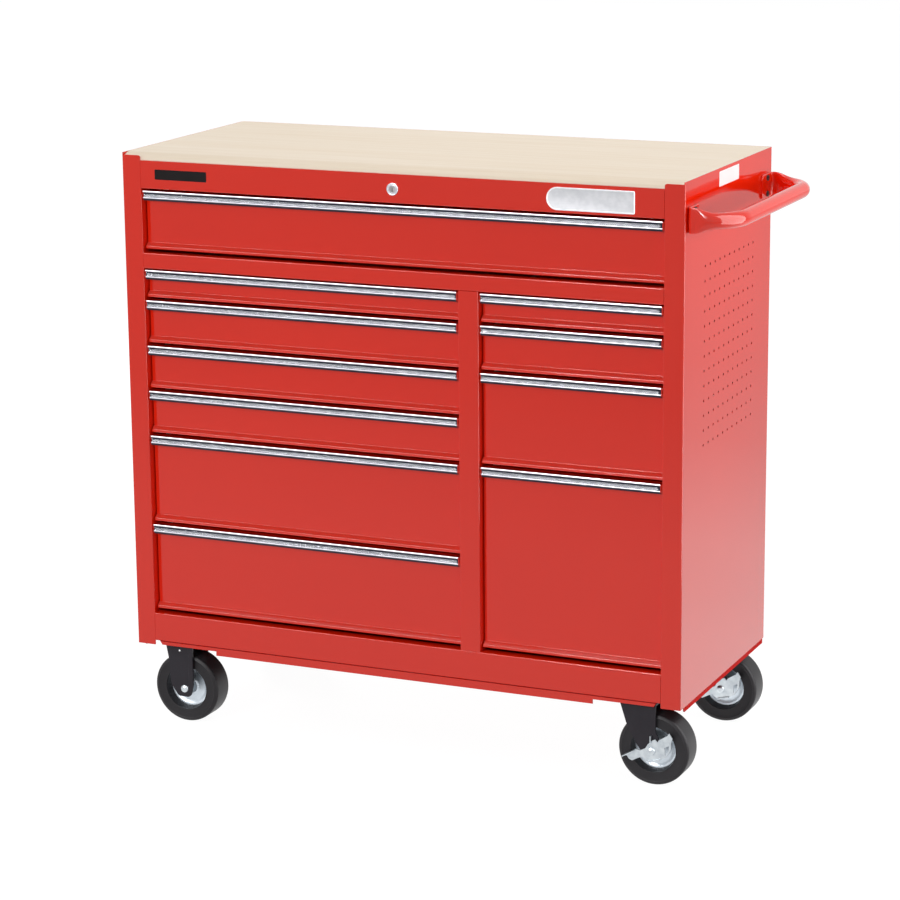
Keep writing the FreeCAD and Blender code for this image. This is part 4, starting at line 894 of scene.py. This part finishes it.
def studio_floor():
    """White paper that camera and gloss see shining, and that takes shadows."""
    far = FLOOR_REACH
    mesh = bpy.data.meshes.new("studio_floor")
    mesh.from_pydata([(-far, -far, 0), (far, -far, 0), (far, far, 0), (-far, far, 0)], [],
                     [(0, 1, 2, 3)])
    floor = bpy.data.objects.new("studio_floor", mesh)
    bpy.context.scene.collection.objects.link(floor)
    material, tree, surface = new_finish("white_paper_floor")
    fill(tree, surface, {"Base Color": "#CFCFCF", "Roughness": 0.9})
    path = add(tree, "ShaderNodeLightPath").outputs
    level = add(tree, "ShaderNodeMix", {
        "Factor": path["Is Camera Ray"], "A": paper_glow(tree), "B": CAMERA_WHITE})
    light = add(tree, "ShaderNodeEmission", {
        "Color": "#FFFFFF", "Strength": level.outputs["Result"]})
    seen = add(tree, "ShaderNodeMath", {
        0: path["Is Camera Ray"], 1: CAMERA_SHARE, 2: path["Is Glossy Ray"]},
        operation="MULTIPLY_ADD", use_clamp=True)
    mixed = add(tree, "ShaderNodeMixShader", {
        0: seen.outputs[0], 1: surface.outputs[0], 2: light.outputs[0]})
    fill(tree, tree.nodes["Material Output"], {"Surface": mixed.outputs[0]})
    mesh.materials.append(material)


studio_floor()
print("paper floor", 2 * FLOOR_REACH, "m wide")

# %% [markdown]
# The walls of the studio are white and far off. Sheets could be hung all round for them, but the
# world stands for them with no mesh at all. It does the same as the floor: it is plain white to the
# camera, to gloss and to clear materials, and dim as a light, so that it only fills the shadows
# that the lamps leave.

# %% World
WORLD_LIGHT = 0.40


def white_world(strength):
    """A white surrounding that lights the object only at the given strength."""
    world = bpy.data.worlds.new("soft_white_studio")
    bpy.context.scene.world = world
    world.use_nodes = True
    tree = world.node_tree
    path = add(tree, "ShaderNodeLightPath").outputs
    seen = add(tree, "ShaderNodeMath", {0: path["Is Camera Ray"], 1: path["Is Glossy Ray"]},
               operation="MAXIMUM")
    clear = add(tree, "ShaderNodeMath", {0: seen.outputs[0], 1: path["Is Transmission Ray"]},
                operation="MAXIMUM")
    level = add(tree, "ShaderNodeMapRange", {
        "Value": clear.outputs[0], "To Min": strength, "To Max": 1.0})
    fill(tree, tree.nodes["Background"], {
        "Color": "#FFFFFF", "Strength": level.outputs["Result"]})


white_world(WORLD_LIGHT)
print("world lights at", WORLD_LIGHT)

# %% [markdown]
# A picture of a studio wrapped round the scene would light it at once, but lamps need no file and
# can be moved one by one, as in the real studio. Four softboxes shape the chest: a small key from
# the front left, which throws the short shadows of forks and levers, one above the work top, one
# from behind on the left for the back and the left wall, and a weak one close to the right wall,
# which brightens its upper part and the handle. Two cards are only seen by gloss. A wide one on the
# right lays the broad highlight on the bend of the handle, the fine line down the corner post and
# the paler upper part of the wall. A strip high in front, to the left, draws the light lines along
# the folds of rails and drawer lips.


# %% Lamps
def softbox(name, spot, aim, width, height, power, gloss=True, diffuse=True):
    """A rectangular lamp in metres and watts, and whether mirrors and dull surfaces see it."""
    light = bpy.data.lights.new(name, "AREA")
    light.shape = "RECTANGLE"
    light.size, light.size_y, light.energy = width, height, power
    lamp = bpy.data.objects.new(name, light)
    lamp.location = spot
    lamp.rotation_euler = (Vector(aim) - Vector(spot)).to_track_quat("-Z", "Y").to_euler()
    lamp.visible_camera = False
    lamp.visible_glossy, lamp.visible_diffuse = gloss, diffuse
    bpy.context.scene.collection.objects.link(lamp)


softbox("key_softbox", (-1.0, -4.2, 2.2), (0.1, 0.0, 0.65), 0.8, 0.8, 59)
softbox("top_softbox", (0.1, 0.1, 3.2), (0.1, 0.1, 1.0), 0.8, 0.8, 18)
softbox("back_fill", (-3.0, 3.0, 1.8), (-0.1, 0.0, 0.55), 1.0, 1.0, 72, gloss=False)
softbox("side_fill", (1.3, 0.0, 1.0), (0.4, 0.0, 0.95), 0.5, 0.5, 5.1, gloss=False)
softbox("gloss_card", (1.65, -0.2, 2.52), (0.6, -0.2, 2.52), 1.7, 5.0, 125, diffuse=False)
softbox("gloss_strip", (-1.5, -3.4, 3.3), (0.0, 0.0, 0.7), 3.6, 2.2, 150, diffuse=False)
print("four lamps and two cards")

# %% [markdown]
# The camera stands where the picture was taken from: some five metres away, to the right of the
# chest and above its top. It could be placed by eye, but matching corners of the cabinet between
# picture and solids places it to within a few pixels.

# %% Camera
FOCAL_PIXELS = 2985.0
IMAGE_PIXELS = 900.0
SENSOR = 36.0
CAMERA_PLACE = (2.05031, -4.75505, 1.74614)
CAMERA_TURN = (76.52156, 0.47955, 23.64693)

camera_data = bpy.data.cameras.new("studio_camera")
camera_data.sensor_width = SENSOR
camera_data.lens = FOCAL_PIXELS / IMAGE_PIXELS * SENSOR
camera_data.clip_start, camera_data.clip_end = 0.1, 60.0
camera = bpy.data.objects.new("studio_camera", camera_data)
camera.location = CAMERA_PLACE
camera.rotation_euler = Euler([math.radians(angle) for angle in CAMERA_TURN], "XYZ")
bpy.context.scene.collection.objects.link(camera)
bpy.context.scene.camera = camera
bpy.context.scene.view_settings.view_transform = "Standard"
print("lens", round(camera_data.lens, 1), "mm")
